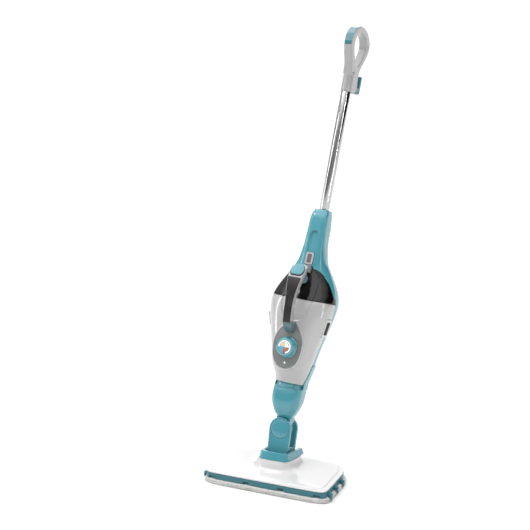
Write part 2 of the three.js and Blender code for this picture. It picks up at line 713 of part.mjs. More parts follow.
function tankCap() {
  const geometry = new THREE.BoxGeometry(20, 3, 4).translate(0, 5.5, 0).rotateX(Math.PI - FILLER.tilt);
  const bar = solid(geometry.translate(0, FILLER.y, FILLER.z));
  return join(fillerRod(12, 1.8, 5), bar, fillerRod(6.8, -5, 3));
}

function dialPanel() {
  const plate = frontPlate(panelOutline(0), DIAL.panelFront, DIAL.panelBack, 8);
  return cut(plate, rodY(7.5, -90, -60, 0, DIAL.z));
}

function dialKnob() {
  const { radius, faceRadius, face, panelFront, z } = DIAL;
  const height = panelFront - face;
  const profile = [[0, 0.5], [radius, 0.5], [radius, 6], [radius - 2.5, 8.5], [faceRadius + 0.5, height - 2],
    [faceRadius - 1.5, height], [16.8, height], [16.8, height - 1.5], [0, height - 1.5]];
  return turnedForward(profile, 0, panelFront, z, 40);
}

function dialSpindle() {
  return rodY(5, DIAL.panelFront - 4, -52, 0, DIAL.z, 20);
}

function dialFace() {
  const top = DIAL.panelFront - DIAL.face;
  const profile = [[0, top - 1.2], [16.4, top - 1.2], [16.4, top - 0.2], [12.4, top + 0.3], [0, top + 0.3]];
  return turnedForward(profile, 0, DIAL.panelFront, DIAL.z, 36);
}

const CARRY_OUTER = [
  [-96, 245], [-108, 256], [-114.5, 275], [-118, 300], [-118.5, 326], [-115.5, 352], [-106.5, 377],
  [-88, 396], [-66, 402],
];
const CARRY_INNER = [[-72, 384], [-88, 374], [-98.5, 352], [-103, 325], [-102, 300], [-98, 279], [-91, 266]];

function carryWidth(y, z) {
  const { lowHalf, topHalf, neckHalf } = CARRY;
  const upward = THREE.MathUtils.smoothstep(z, 300, 388);
  const backward = THREE.MathUtils.clamp((y + 88) / 22, 0, 1);
  const byHeight = THREE.MathUtils.lerp(lowHalf, topHalf, upward);
  return 2 * Math.min(byHeight, THREE.MathUtils.lerp(topHalf, neckHalf, backward));
}

function steamButtonBlock(grow, outward, inward) {
  const { half, long, tilt, y, z } = STEAM_BUTTON;
  const corners = [[-half, -long * 0.5], [-half * 0.72, -long], [half * 0.72, -long], [half, -long * 0.5],
    [half, long * 0.2], [half * 0.5, long], [-half * 0.5, long], [-half, long * 0.2]];
  const shape = polygon(corners.map(([u, v]) => [u * (1 + grow / half), v * (1 + grow / long)]));
  const depth = outward + inward;
  const geometry = new THREE.ExtrudeGeometry(shape, { depth, bevelEnabled: false });
  geometry.translate(0, 0, -inward).rotateX(Math.PI / 2 - tilt);
  return solid(geometry.translate(0, y, z));
}

function carryHandle() {
  const shape = new THREE.Shape();
  shape.moveTo(CARRY.endY, 236);
  shape.splineThru(vectors(CARRY_OUTER));
  shape.lineTo(-47, 402.5);
  shape.lineTo(-46, 398.8);
  shape.lineTo(-22, 398.8);
  shape.lineTo(-22, 384.5);
  shape.lineTo(-50, 384.5);
  shape.splineThru(vectors(CARRY_INNER));
  shape.lineTo(CARRY.endY, 259);
  shape.closePath();
  return cut(sideExtrude(shape, carryWidth, 4), steamButtonBlock(1, 12, 6.5));
}

// The soft strip lies on the carry handle's outer face.
function gripStrip() {
  const path = new THREE.SplineCurve(vectors([[CARRY.endY, 236], ...CARRY_OUTER]));
  const samples = 16;
  const [inside, outside] = [[], []];
  for (let i = 0; i <= samples; i += 1) {
    const along = 0.235 + (0.44 * i) / samples;
    const point = path.getPoint(along);
    const tangent = path.getTangent(along);
    const outward = new THREE.Vector2(-tangent.y, tangent.x);
    inside.push(point.clone().addScaledVector(outward, GAP));
    outside.push(point.clone().addScaledVector(outward, CARRY.strip));
  }
  const shape = new THREE.Shape([...inside, ...outside.reverse()]);
  return sideExtrude(shape, (y, z) => carryWidth(y, z) - 5);
}

// A bar in the latch's slot, from one depth to another along the latch's own axis.
function latchBar(from, to, grow) {
  const { halfHeight, halfDepth } = LATCH_BLOCK;
  const bar = new THREE.BoxGeometry(to - from, halfDepth + 2 * grow, 2 * (halfHeight - 6 + grow));
  return onLatch(bar.translate((from + to) / 2, 0, 0));
}

function latchBezel() {
  return cut(latchBlock(0, 0), latchBar(-20, 30, GAP));
}

function boiler() {
  const block = box(-28, 28, -48, -8, 146, 184);
  const lid = box(-31, 31, -46, -10, 184, 187);
  return cut(join(block, lid), box(-23, 23, -44, -12, 151, 182), rodZ(4, 180, 190, -18, -22, 12));
}

function pump() {
  return join(rodZ(16, 215, 262, -26, -8), rodZ(6, 206, 216, -26, -8, 16), box(-40, -12, -12, 6, 225, 250));
}

function steamValve() {
  return join(rodY(11, -49, -32, 0, DIAL.z), rodY(4, -32.5, -22, 0, DIAL.z, 12));
}

function hose(points) {
  const route = new THREE.CatmullRomCurve3(points.map((point) => new THREE.Vector3(...point)));
  const circle = new THREE.Shape().absarc(0, 0, HOSE_RADIUS, 0, 2 * Math.PI, false);
  const options = { steps: 14, extrudePath: route, curveSegments: 5 };
  return solid(new THREE.ExtrudeGeometry(circle, options));
}

function cordGland() {
  const sleeve = new THREE.CylinderGeometry(5.5, 7, 34, 20).translate(0, 41, 232);
  return cut(solid(sleeve), rodY(3.2, 20, 70, 0, 232, 12));
}

function steamNozzle() {
  return cut(rodZ(7.5, BOOT.ledge + GAP, 127, 0, -6), rodZ(3, 100, 124, 0, -6, 12));
}

const HOSE_RADIUS = 2.6;
const WATER_ROUTE = [[-26, -8, 204.5], [-25, -11, 199], [-20, -19, 194], [-18, -22, 188.5]];
const STEAM_ROUTE = [
  [0, -19.5, 201], [4, -12, 201], [26, -4, 198], [36, -3, 178], [34, -3, 154], [16, -4, 139], [2, -6, 134],
  [0, -6, 128],
];

// ---------------------------------------------------------------- assembly
const mop = new THREE.Group();
const head = new THREE.Group();
mop.add(head);
add(head, 'mop_pad', mopPad(), MICROFIBRE);
add(head, 'head_base_plate', headBasePlate(), TEAL);
add(head, 'head_top_cover', headTopCover(), WHITE);
add(head, 'steam_manifold', steamManifold(), NYLON);
add(head, 'joint_collar', jointCollar(), TEAL);
HEAD_SCREWS.forEach(([x, y], i) => add(head, `head_screw_${i + 1}`, headScrew(x, y), STEEL));
add(head, 'pitch_pin_left', mirrored(pitchPin(), -1), STEEL);
add(head, 'pitch_pin_right', pitchPin(), STEEL);

const yoke = new THREE.Group();
yoke.position.set(0, PITCH_AXIS.y, PITCH_AXIS.z);
yoke.rotation.x = -LEAN;
head.add(yoke);
const pinEnd = YOKE.face - CAP.recess - 0.2;
add(yoke, 'yoke_frame', yokeFrame(), TEAL);
add(yoke, 'yoke_cap_front', yokeCap(), TEAL);
add(yoke, 'yoke_cap_rear', yokeCap().mirror([0, 1, 0]), TEAL);
add(yoke, 'roll_pin', rodY(ROLL_PIN_RADIUS, -pinEnd, pinEnd, 0, HUB_HEIGHT), STEEL);

const mast = new THREE.Group();
mast.position.set(0, 0, HUB_HEIGHT);
mast.rotation.y = ROLL;
yoke.add(mast);
add(mast, 'boot', boot(), TEAL);
add(mast, 'roll_bush_front', rollBush(-16, -0.3), NYLON);
add(mast, 'roll_bush_rear', rollBush(0.3, 16), NYLON);
add(mast, 'steam_coupling', steamCoupling(), BLACK);
add(mast, 'rear_housing', rearHousing(), TEAL);
add(mast, 'pole_tube', poleTube(), CHROME);
add(mast, 'handle_shell', handleShell(), PALE_GREY);
add(mast, 'handle_insert', handleInsert(), TEAL);
add(mast, 'release_button', releaseBlock(0, 0), BUTTON_GREY);
add(mast, 'upper_cord_hook', join(cordHook(UPPER_HOOK, 20, 36, 1), hookStud(UPPER_HOOK, 5)), TEAL);
add(mast, 'lower_cord_hook', cordHook(LOWER_HOOK, 11, 38, -1), BLACK);

const unit = new THREE.Group();
mast.add(unit);
add(unit, 'front_cover', frontCover(), WHITE);
add(unit, 'unit_back', unitBack(), PALE_GREY);
add(unit, 'water_tank', waterTank(), SMOKE);
add(unit, 'tank_cap', tankCap(), TEAL);
add(unit, 'dial_panel', dialPanel(), PANEL_GREY);
add(unit, 'dial_knob', join(dialKnob(), dialSpindle()), TEAL);
add(unit, 'dial_face', dialFace(), WHITE);
add(unit, 'carry_handle', carryHandle(), PALE_GREY);
add(unit, 'grip_strip', gripStrip(), BLACK);
add(unit, 'steam_button', steamButtonBlock(0, 2.4, STEAM_BUTTON.thick - 4.5), TEAL);
for (const [side, name] of [[-1, 'left'], [1, 'right']]) {
  add(unit, `latch_bezel_${name}`, mirrored(latchBezel(), side), WHITE);
  add(unit, `latch_button_${name}`, mirrored(latchBar(-2, LATCH_BLOCK.depth / 2 + 0.8, 0), side), BLACK);
}
add(unit, 'boiler', boiler(), ALUMINIUM);
add(unit, 'pump', pump(), BLACK);
add(unit, 'steam_valve', steamValve(), NYLON);
add(unit, 'water_hose', hose(WATER_ROUTE), BLACK);
add(unit, 'steam_hose', hose(STEAM_ROUTE), BLACK);
add(unit, 'steam_nozzle', steamNozzle(), BLACK);
add(unit, 'cord_gland', cordGland(), BLACK);

export default mop;
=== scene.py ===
"""Looks for the steam mop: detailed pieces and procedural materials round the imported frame.

Shapes are drawn in millimetres in one of three local frames, which mirror the assembly: the floor
head (HEAD), the yoke on its pitch hinge (YOKE) and the mast, leaning and rolled (MAST). Each piece
is then put into the row frame in metres.
"""

import json
import math

import bmesh
import bpy
import numpy as np
from mathutils import Matrix, Vector


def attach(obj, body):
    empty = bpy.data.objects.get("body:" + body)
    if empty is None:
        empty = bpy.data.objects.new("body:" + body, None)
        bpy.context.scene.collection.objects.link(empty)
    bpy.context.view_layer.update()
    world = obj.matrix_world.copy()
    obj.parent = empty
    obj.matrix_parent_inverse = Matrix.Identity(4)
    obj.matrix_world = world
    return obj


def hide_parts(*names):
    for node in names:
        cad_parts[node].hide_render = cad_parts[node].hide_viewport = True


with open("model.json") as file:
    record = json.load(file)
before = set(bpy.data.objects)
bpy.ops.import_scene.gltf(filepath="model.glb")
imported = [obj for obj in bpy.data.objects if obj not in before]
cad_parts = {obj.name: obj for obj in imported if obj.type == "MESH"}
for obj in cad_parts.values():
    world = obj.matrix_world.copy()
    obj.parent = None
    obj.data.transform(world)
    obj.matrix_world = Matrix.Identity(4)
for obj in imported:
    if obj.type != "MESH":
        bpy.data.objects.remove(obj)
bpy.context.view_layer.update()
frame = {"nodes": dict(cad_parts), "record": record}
scene = bpy.context.scene

# ------------------------------------------------------------------ local frames
MM = 0.001
GAP = 0.3
LEAN, ROLL = math.radians(17), math.radians(4)
PITCH_Y, PITCH_Z, HUB = 20.9, 48.5, 72.15
HEAD = Matrix.Scale(MM, 4)
YOKE = HEAD @ Matrix.Translation((0, PITCH_Y, PITCH_Z)) @ Matrix.Rotation(-LEAN, 4, "X")
MAST = YOKE @ Matrix.Translation((0, 0, HUB)) @ Matrix.Rotation(ROLL, 4, "Y")

BODY = np.array([
    [22, 17, 15, -3, 2.6], [37, 25.5, 22, -7, 2.8], [50, 31.5, 27, -9, 3], [67, 36, 30.5, -9, 3.6],
    [84, 37.2, 31.5, -8, 4], [103, 36.8, 31.5, -5, 4], [114, 36.5, 31.5, -2.5, 3.4],
    [131, 41.5, 40, -6, 2.8], [153, 47.7, 51, -13, 2.8], [175, 52.3, 54, -18, 2.8],
    [211, 60.3, 55, -20, 2.8], [247, 69.3, 57, -20, 2.8], [284, 77.5, 59, -19, 2.8],
    [303, 80, 60, -16, 2.8], [320, 80, 60, -12, 2.7], [345, 73.5, 55, -6, 2.5],
    [372, 59.6, 46, -4, 2.4], [398, 44.5, 36, -6, 2.4], [410, 37.5, 32.5, -8, 2.6],
    [434, 30.5, 27.5, -9.5, 3.4], [459, 26, 25, -10, 4.4], [490, 24, 24, -9.5, 5],
    [528, 21.7, 21.5, -7.5, 5], [541, 18.5, 18, -4, 5],
])
PARTING = -18  # where the hand-held unit meets the housing behind it
DIAL_Z = 201
STRAP_ROWS = (-60, -20, 20)
NOTCH_COLUMNS = (-135, -45, 45, 135)
HEAD_SQUARENESS = (13.0, 4.6)  # of the front half and of the rear half
PAD_SQUARENESS = (9.0, 4.4)
CORNER_STEPS = 5
BEVEL_ANGLE = math.radians(35)
GRIP_SPAN = (0.255, 0.735)  # the share of the carry handle's outer curve that the inlay covers
FLOOR_REACH = 300  # metres


# ------------------------------------------------------------------ camera, lights, floor
SENSOR_WIDTH = 36
CAMERA_PLACE = (0.9786, -2.278, 1.1378)
CAMERA_DROP, CAMERA_TURN = 13.62, 23.92  # degrees below level, and round from straight ahead
# The wall's brightness at each bearing, in degrees from the front toward +X.
WALL_LEVELS = [(-180, 1.6), (-146, 1.6), (-128, 0.12), (-62, 0.16), (-30, 0.3), (0, 0.34), (8, 0.45), (60, 0.45),
               (66, 0.03), (160, 0.02), (172, 1.4), (180, 1.6)]
LOW_BAND, OVERHEAD = (0.045, 0.07), (0.55, 0.85)  # heights at which the wall and the ceiling fade in
SOFTBOXES = [("left_softbox", (-1.9, -0.9, 1.1), (0, 0, 0.5), (0.16, 2.0), 14),
             ("right_softbox", (1.9, -0.62, 1.1), (0, 0, 0.5), (0.07, 2.0), 11),
             ("top_softbox", (-1.0, -0.6, 2.4), (0, 0, 0.3), (0.6, 0.6), 14)]


def make_camera():
    data = bpy.data.cameras.new("camera")
    data.sensor_width = SENSOR_WIDTH
    data.lens = SENSOR_WIDTH * 1100 / 530
    camera = bpy.data.objects.new("camera", data)
    scene.collection.objects.link(camera)
    camera.location = CAMERA_PLACE
    camera.rotation_euler = (math.radians(90 - CAMERA_DROP), 0, math.radians(CAMERA_TURN))
    scene.camera = camera


def area_light(name, location, aim, size, power):
    data = bpy.data.lights.new(name, "AREA")
    data.shape = "RECTANGLE"
    data.size, data.size_y = size
    data.energy = power
    light = bpy.data.objects.new(name, data)
    scene.collection.objects.link(light)
    light.location = location
    light.rotation_euler = (Vector(aim) - Vector(location)).to_track_quat("-Z", "Y").to_euler()


def make_studio():
    """A bright backdrop and ceiling, greyer to the left and dark to the right, as a photographer flags it."""
    world = bpy.data.worlds.new("studio")
    scene.world = world
    world.use_nodes = True
    nodes, links = world.node_tree.nodes, world.node_tree.links
    split = nodes.new("ShaderNodeSeparateXYZ")
    links.new(nodes.new("ShaderNodeTexCoord").outputs["Generated"], split.inputs[0])
    forward = nodes.new("ShaderNodeMath")
    forward.operation = "MULTIPLY"
    forward.inputs[1].default_value = -1.0
    links.new(split.outputs["Y"], forward.inputs[0])
    turn = nodes.new("ShaderNodeMath")
    turn.operation = "ARCTAN2"
    links.new(split.outputs["X"], turn.inputs[0])
    links.new(forward.outputs[0], turn.inputs[1])
    around = ramp(nodes, links, turn.outputs[0], -math.pi, math.pi)
    walls = nodes.new("ShaderNodeValToRGB")
    points = walls.color_ramp.elements
    for _ in WALL_LEVELS[2:]:
        points.new(0.5)
    for point, (degrees, level) in zip(points, WALL_LEVELS):
        point.position = (degrees + 180) / 360
        point.color = (level, level, level, 1)
    links.new(around, walls.inputs["Fac"])
    overhead = ramp(nodes, links, split.outputs["Z"], *OVERHEAD)
    above = ramp(nodes, links, split.outputs["Z"], *LOW_BAND)
    room = mix(nodes, links, above, (1.4, 1.4, 1.4, 1), walls.outputs["Color"])
    sky = mix(nodes, links, overhead, room, (1.9, 1.9, 1.9, 1))
    links.new(sky, nodes["Background"].inputs["Color"])
    nodes["Background"].inputs["Strength"].default_value = 1.0
    data = bpy.data.lights.new("ceiling", "SUN")
    data.energy = 1.3
    data.angle = math.radians(110)
    ceiling = bpy.data.objects.new("ceiling", data)
    scene.collection.objects.link(ceiling)
    ceiling.rotation_euler = (math.radians(4), math.radians(-26), 0)
    for softbox in SOFTBOXES:
        area_light(*softbox)
    scene.view_settings.view_transform = "Standard"
    scene.view_settings.exposure = -0.3


# ------------------------------------------------------------------ node helpers
def linear(*srgb):
    return tuple(((c / 255 + 0.055) / 1.055) ** 2.4 if c > 10 else c / 255 / 12.92 for c in srgb) + (1,)


def tree_of(name):
    material = bpy.data.materials.new(name)
    material.use_nodes = True
    nodes = material.node_tree.nodes
    return material, nodes, material.node_tree.links, nodes["Principled BSDF"]


def noise(nodes, links, coord, scale, detail=4.0, roughness=0.55):
    texture = nodes.new("ShaderNodeTexNoise")
    texture.inputs["Scale"].default_value = scale
    texture.inputs["Detail"].default_value = detail
    texture.inputs["Roughness"].default_value = roughness
    links.new(coord, texture.inputs["Vector"])
    return texture.outputs["Fac"]


def ramp(nodes, links, value, low, high, to_low=0.0, to_high=1.0):
    node = nodes.new("ShaderNodeMapRange")
    node.inputs["From Min"].default_value = low
    node.inputs["From Max"].default_value = high
    node.inputs["To Min"].default_value = to_low
    node.inputs["To Max"].default_value = to_high
    links.new(value, node.inputs["Value"])
    return node.outputs["Result"]


def mix(nodes, links, amount, first, second):
    node = nodes.new("ShaderNodeMix")
    node.data_type = "RGBA"
    links.new(amount, node.inputs["Factor"])
    for socket, value in ((node.inputs["A"], first), (node.inputs["B"], second)):
        if isinstance(value, tuple):
            socket.default_value = value
        else:
            links.new(value, socket)
    return node.outputs["Result"]


def bump(nodes, links, height, strength, distance, shader):
    node = nodes.new("ShaderNodeBump")
    node.inputs["Strength"].default_value = strength
    node.inputs["Distance"].default_value = distance
    links.new(height, node.inputs["Height"])
    links.new(node.outputs["Normal"], shader.inputs["Normal"])


def tinted(colour, share):
    return tuple(min(1.0, c * share) for c in colour[:3]) + (1,)


def plastic(name, colour, rough=0.28, grain=2600.0, depth=0.00003, vary=0.06, coat=0.0, edge=0.25):
    """Moulded plastic: flow marks in the colour, handling smudges in the gloss, convex edges painted paler as a
    painted edge highlight.
    """
    material, nodes, links, shader = tree_of(name)
    coord = nodes.new("ShaderNodeTexCoord").outputs["Object"]
    flow = noise(nodes, links, coord, 7.0, 3.0)
    base = mix(nodes, links, flow, tinted(colour, 1 - vary), tinted(colour, 1 + vary))
    speck = ramp(nodes, links, noise(nodes, links, coord, 240.0, 6.0), 0.62, 0.8, 0.0, 0.18)
    base = mix(nodes, links, speck, base, tinted(colour, 0.8))
    # Painted edge highlight: convex edges are mixed toward a paler tint.
    pointiness = nodes.new("ShaderNodeNewGeometry").outputs["Pointiness"]
    edge_highlight = ramp(nodes, links, pointiness, 0.53, 0.62, 0.0, edge)
    pale = tuple(c + (1 - c) * 0.45 for c in colour[:3]) + (1,)
    base = mix(nodes, links, edge_highlight, base, pale)
    links.new(base, shader.inputs["Base Color"])
    smudge = noise(nodes, links, coord, 34.0, 5.0, 0.62)
    gloss = ramp(nodes, links, smudge, 0.35, 0.75, rough * 0.8, rough * 1.35)
    links.new(gloss, shader.inputs["Roughness"])
    skin = noise(nodes, links, coord, grain, 2.0)
    bump(nodes, links, skin, 0.35, depth, shader)
    shader.inputs["Coat Weight"].default_value = coat
    shader.inputs["Coat Roughness"].default_value = 0.06
    return material


def metal(name, colour, rough, along=(1.0, 1.0, 1.0), streak=0.25):
    """Metal with drawing lines along one direction and a breath of smudging."""
    material, nodes, links, shader = tree_of(name)
    coord = nodes.new("ShaderNodeTexCoord").outputs["Object"]
    mapping = nodes.new("ShaderNodeMapping")
    mapping.inputs["Scale"].default_value = along
    links.new(coord, mapping.inputs["Vector"])
    lines = noise(nodes, links, mapping.outputs["Vector"], 300.0, 3.0)
    smudge = noise(nodes, links, coord, 26.0, 5.0)
    base = mix(nodes, links, ramp(nodes, links, smudge, 0.3, 0.8), colour, tinted(colour, 0.86))
    links.new(base, shader.inputs["Base Color"])
    links.new(ramp(nodes, links, lines, 0.3, 0.7, rough * (1 - streak), rough * (1 + streak)),
              shader.inputs["Roughness"])
    shader.inputs["Metallic"].default_value = 1.0
    bump(nodes, links, lines, 0.05, 0.00002, shader)
    return material


def rubber(name, colour, rough=0.6):
    """Soft-touch rubber with a leathery moulded grain and dust in its pores."""
    material, nodes, links, shader = tree_of(name)
    coord = nodes.new("ShaderNodeTexCoord").outputs["Object"]
    cells = nodes.new("ShaderNodeTexVoronoi")
    cells.inputs["Scale"].default_value = 900.0
    links.new(coord, cells.inputs["Vector"])
    dust = ramp(nodes, links, noise(nodes, links, coord, 55.0, 6.0), 0.5, 0.8, 0.0, 0.3)
    base = mix(nodes, links, dust, colour, tuple(c + 0.04 for c in colour[:3]) + (1,))
    links.new(base, shader.inputs["Base Color"])
    links.new(ramp(nodes, links, dust, 0.0, 0.3, rough * 0.85, rough * 1.2), shader.inputs["Roughness"])
    bump(nodes, links, cells.outputs["Distance"], 0.4, 0.00008, shader)
    return material


def smoked(name, colour, rough=0.05):
    """Smoke-tinted clear plastic, with faint water marks inside."""
    material, nodes, links, shader = tree_of(name)
    coord = nodes.new("ShaderNodeTexCoord").outputs["Object"]
    marks = ramp(nodes, links, noise(nodes, links, coord, 60.0, 6.0), 0.55, 0.75)
    links.new(mix(nodes, links, marks, colour, tinted(colour, 1.25)), shader.inputs["Base Color"])
    links.new(ramp(nodes, links, marks, 0.0, 1.0, rough, rough * 2.2), shader.inputs["Roughness"])
    shader.inputs["Transmission Weight"].default_value = 0.2
    shader.inputs["Coat Weight"].default_value = 0.25
    shader.inputs["Specular IOR Level"].default_value = 0.35
    shader.inputs["IOR"].default_value = 1.46
    bump(nodes, links, noise(nodes, links, coord, 18.0, 2.0), 0.02, 0.0003, shader)
    return material


def microfibre(name, colour, dirt):
    """Looped microfibre pile: soft sheen, tiny shadows between the loops, a used tone low down."""
    material, nodes, links, shader = tree_of(name)
    coord = nodes.new("ShaderNodeTexCoord").outputs["Object"]
    loops = nodes.new("ShaderNodeTexVoronoi")
    loops.inputs["Scale"].default_value = 520.0
    links.new(coord, loops.inputs["Vector"])
    shadow = ramp(nodes, links, loops.outputs["Distance"], 0.25, 0.75, 0.0, 0.55)
    patch = ramp(nodes, links, noise(nodes, links, coord, 90.0, 5.0, 0.7), 0.45, 0.75, 0.0, 0.5)
    base = mix(nodes, links, patch, colour, dirt)
    base = mix(nodes, links, shadow, base, tinted(dirt, 0.72))
    links.new(base, shader.inputs["Base Color"])
    shader.inputs["Roughness"].default_value = 0.95
    shader.inputs["Sheen Weight"].default_value = 0.5
    shader.inputs["Sheen Roughness"].default_value = 0.45
    height = nodes.new("ShaderNodeMath")
    height.operation = "ADD"
    links.new(loops.outputs["Distance"], height.inputs[0])
    links.new(noise(nodes, links, coord, 1400.0, 4.0), height.inputs[1])
    bump(nodes, links, height.outputs["Value"], 0.9, 0.0009, shader)
    return material


TEAL = plastic("teal", linear(66, 140, 153), 0.2, coat=0.6)
TEAL_INSERT = plastic("teal_insert", linear(54, 118, 132), 0.12, grain=1800.0, coat=1.0)
TEAL_DARK = plastic("teal_dark", linear(42, 104, 115), 0.36)
SLATE = plastic("slate_teal", linear(78, 106, 112), 0.3, coat=0.3)
WHITE = plastic("white", linear(205, 204, 204), 0.2, coat=0.8, vary=0.015, edge=0.0)
# The same white plastic as WHITE, painted darker: painted shade for the hand-held unit's cover.
WHITE_PAINTED_SHADE = plastic("white_painted_shade", linear(174, 173, 173), 0.2, coat=0.9, vary=0.015, edge=0.0)
PALE = plastic("pale_grey", linear(152, 152, 152), 0.24, coat=0.6, vary=0.02, edge=0.15)
PANEL = plastic("panel_grey", linear(112, 117, 116), 0.42, depth=0.00006, vary=0.03, edge=0.1)
BUTTON = plastic("button_grey", linear(156, 153, 158), 0.36, vary=0.03, edge=0.25)
INSET = plastic("button_inset", linear(104, 98, 102), 0.4, vary=0.03, edge=0.1)
BLACK = plastic("black", linear(26, 26, 26), 0.45, depth=0.00006, vary=0.1, edge=0.08)
NYLON = plastic("nylon", linear(216, 212, 200), 0.5, depth=0.00005)
SOFT = rubber("soft_black", linear(9, 9, 9), 0.5)
HOSE = rubber("hose_rubber", linear(30, 30, 30), 0.65)
SMOKE = smoked("smoke", linear(13, 13, 14))
CHROME = metal("chrome", (0.54, 0.54, 0.55, 1), 0.12, (40.0, 40.0, 1.0))
STEEL = metal("steel", (0.56, 0.57, 0.58, 1), 0.34, (1.0, 12.0, 12.0))
CAST = metal("cast_aluminium", (0.68, 0.69, 0.70, 1), 0.5, (1.0, 1.0, 1.0), 0.4)
PILE = microfibre("microfibre", linear(236, 236, 234), linear(190, 187, 183))
MARK_WHITE = plastic("mark_white", linear(244, 244, 242), 0.4, vary=0.01, edge=0.0)
MARK_RED = plastic("mark_red", linear(202, 42, 52), 0.38, vary=0.04, edge=0.0)
MARK_BEIGE = plastic("mark_beige", linear(216, 188, 158), 0.4, vary=0.04, edge=0.0)
MARK_BROWN = plastic("mark_brown", linear(190, 98, 48), 0.4, vary=0.05, edge=0.0)
MARK_TEAL = plastic("mark_teal", linear(72, 160, 176), 0.35, vary=0.04, edge=0.0)


# ------------------------------------------------------------------ outlines
def spline(points, samples):
    """Smooth open curve through the points."""
    points = np.array(points, float)
    last = len(points) - 1
    out = []
    for i in range(last):
        p0, p1, p2, p3 = (points[min(max(k, 0), last)] for k in (i - 1, i, i + 1, i + 2))
        v0, v1 = (p2 - p0) / 2, (p3 - p1) / 2
        for t in np.arange(samples) / samples:
            a, b = 2 * p1 - 2 * p2 + v0 + v1, -3 * p1 + 3 * p2 - 2 * v0 - v1
            out.append(a * t ** 3 + b * t ** 2 + v0 * t + p1)
    return np.array(out + [points[-1]])


def quad_curve(p0, p1, p2, samples=10):
    t = np.linspace(0, 1, samples + 1)[:, None]
    return (1 - t) ** 2 * np.array(p0, float) + 2 * t * (1 - t) * np.array(p1, float) + t ** 2 * np.array(p2, float)


def arc(cx, cy, radius, start, end, samples=24):
    angle = np.linspace(start, end, samples + 1)
    return np.stack([cx + radius * np.cos(angle), cy + radius * np.sin(angle)], 1)


def rounded(points, radius):
    """A closed outline with its corners rounded."""
    points = np.array(points, float)
    out = []
    for i, corner in enumerate(points):
        before, after = points[i - 1], points[(i + 1) % len(points)]
        u, v = before - corner, after - corner
        reach = min(radius, 0.45 * np.linalg.norm(u), 0.45 * np.linalg.norm(v))
        a, b = corner + u / np.linalg.norm(u) * reach, corner + v / np.linalg.norm(v) * reach
        out.append(quad_curve(a, corner, b, CORNER_STEPS))
    return np.concatenate(out)


def rectangle(x0, x1, y0, y1, radius=0.0):
    corners = [(x0, y0), (x1, y0), (x1, y1), (x0, y1)]
    return rounded(corners, radius) if radius else np.array(corners, float)


def turns(count):
    """Evenly spaced angles round a full circle."""
    return np.arange(count) * 2 * math.pi / count


def distinct(points):
    keep = [points[0]]
    for p in points[1:]:
        if np.linalg.norm(p - keep[-1]) > 1e-3:
            keep.append(p)
    if np.linalg.norm(keep[0] - keep[-1]) < 1e-3:
        keep.pop()
    return np.array(keep)


# ------------------------------------------------------------------ solids as (vertices, faces)
def loft(rings):
    count, around = rings.shape[:2]
    faces = [
        (i * around + j, i * around + (j + 1) % around, (i + 1) * around + (j + 1) % around, (i + 1) * around + j)
        for i in range(count - 1) for j in range(around)
    ]
    faces.append(tuple(reversed(range(around))))
    faces.append(tuple(range((count - 1) * around, count * around)))
    return rings.reshape(-1, 3), faces


def extrude(outline, low, high, plane="xy"):
    """An outline raised between two depths: in (x, y) along Z, in (x, z) along Y or in (y, z) along X."""
    outline = distinct(outline)
    rings = []
    for depth in (low, high):
        depths = depth(outline) if callable(depth) else np.full(len(outline), float(depth))
        columns = {"xy": (outline[:, 0], outline[:, 1], depths), "xz": (outline[:, 0], depths, outline[:, 1]),
                   "yz": (depths, outline[:, 0], outline[:, 1])}[plane]
        rings.append(np.stack(columns, 1))
    return loft(np.array(rings))


def box(x0, x1, y0, y1, z0, z1):
    return extrude(rectangle(x0, x1, y0, y1), z0, z1)


def rod(axis, radius, low, high, a, b, sides=72):
    plane = {"x": "yz", "y": "xz", "z": "xy"}[axis]
    return extrude(arc(a, b, radius, 0, 2 * math.pi, sides), low, high, plane)


def moved(solid, matrix):
    verts, faces = solid
    return np.array([matrix @ Vector(v) for v in verts]), faces


def mirrored(solid):
    verts, faces = solid
    return verts * np.array([-1.0, 1.0, 1.0]), [tuple(reversed(f)) for f in faces]


def lathe(profile, sides=96):
    """A turned solid about Z; the profile runs from axis to axis as (radius, height)."""
    profile = distinct(np.array(profile, float))
    angle = turns(sides)
    rings = [np.stack([r * np.cos(angle), r * np.sin(angle), np.full(sides, z)], 1) for r, z in profile if r > 1e-6]
    return loft(np.array(rings))


def facing_front(y, z, x=0.0):
    """Puts a turned solid's axis along -Y at that place."""
    return Matrix.Translation((x, y, z)) @ Matrix.Rotation(math.pi / 2, 4, "X")


# ------------------------------------------------------------------ the body's outer form
def section_at(z):
    i = int(np.clip(np.searchsorted(BODY[:, 0], z, side="right"), 1, len(BODY) - 1))
    t0, t1 = BODY[i - 1, 0], BODY[i, 0]
    before, after = (i - 2, i + 1)
    t_before = BODY[before, 0] if before >= 0 else 2 * t0 - t1
    t_after = BODY[after, 0] if after < len(BODY) else 2 * t1 - t0
    before = before if before >= 0 else i
    after = after if after < len(BODY) else i - 1
    half = (t1 - t0) / 2
    wp, wn = half / (t0 - t_before), half / (t_after - t1)
    p = (z - t0) / (t1 - t0)
    weights = (
        -wp * p ** 3 + 2 * wp * p ** 2 - wp * p,
        (1 + wp) * p ** 3 + (-1.5 - 2 * wp) * p ** 2 + (-0.5 + wp) * p + 1,
        (-1 - wn) * p ** 3 + (1.5 + wn) * p ** 2 + 0.5 * p,
        wn * p ** 3 - wn * p ** 2,
    )
    return sum(w * BODY[k, 1:] for w, k in zip(weights, (before, i - 1, i, after)))


def reach(angle, half_width, half_depth, squareness):
    across = np.abs(np.cos(angle)) / half_width
    along = np.abs(np.sin(angle)) / half_depth
    return (across ** squareness + along ** squareness) ** (-1 / squareness)


def body_ring(z, inset, around):
    half_width, half_depth, y, squareness = section_at(z)
    angle = turns(around)
    length = reach(angle, half_width - inset, half_depth - inset, squareness)
    return np.stack([length * np.cos(angle), y + length * np.sin(angle), np.full(around, z)], 1)


def body_slice(low, high, inset, step, around=160):
    count = max(3, int(round((high - low) / step)) + 1)
    return loft(np.array([body_ring(z, inset, around) for z in np.linspace(low, high, count)]))


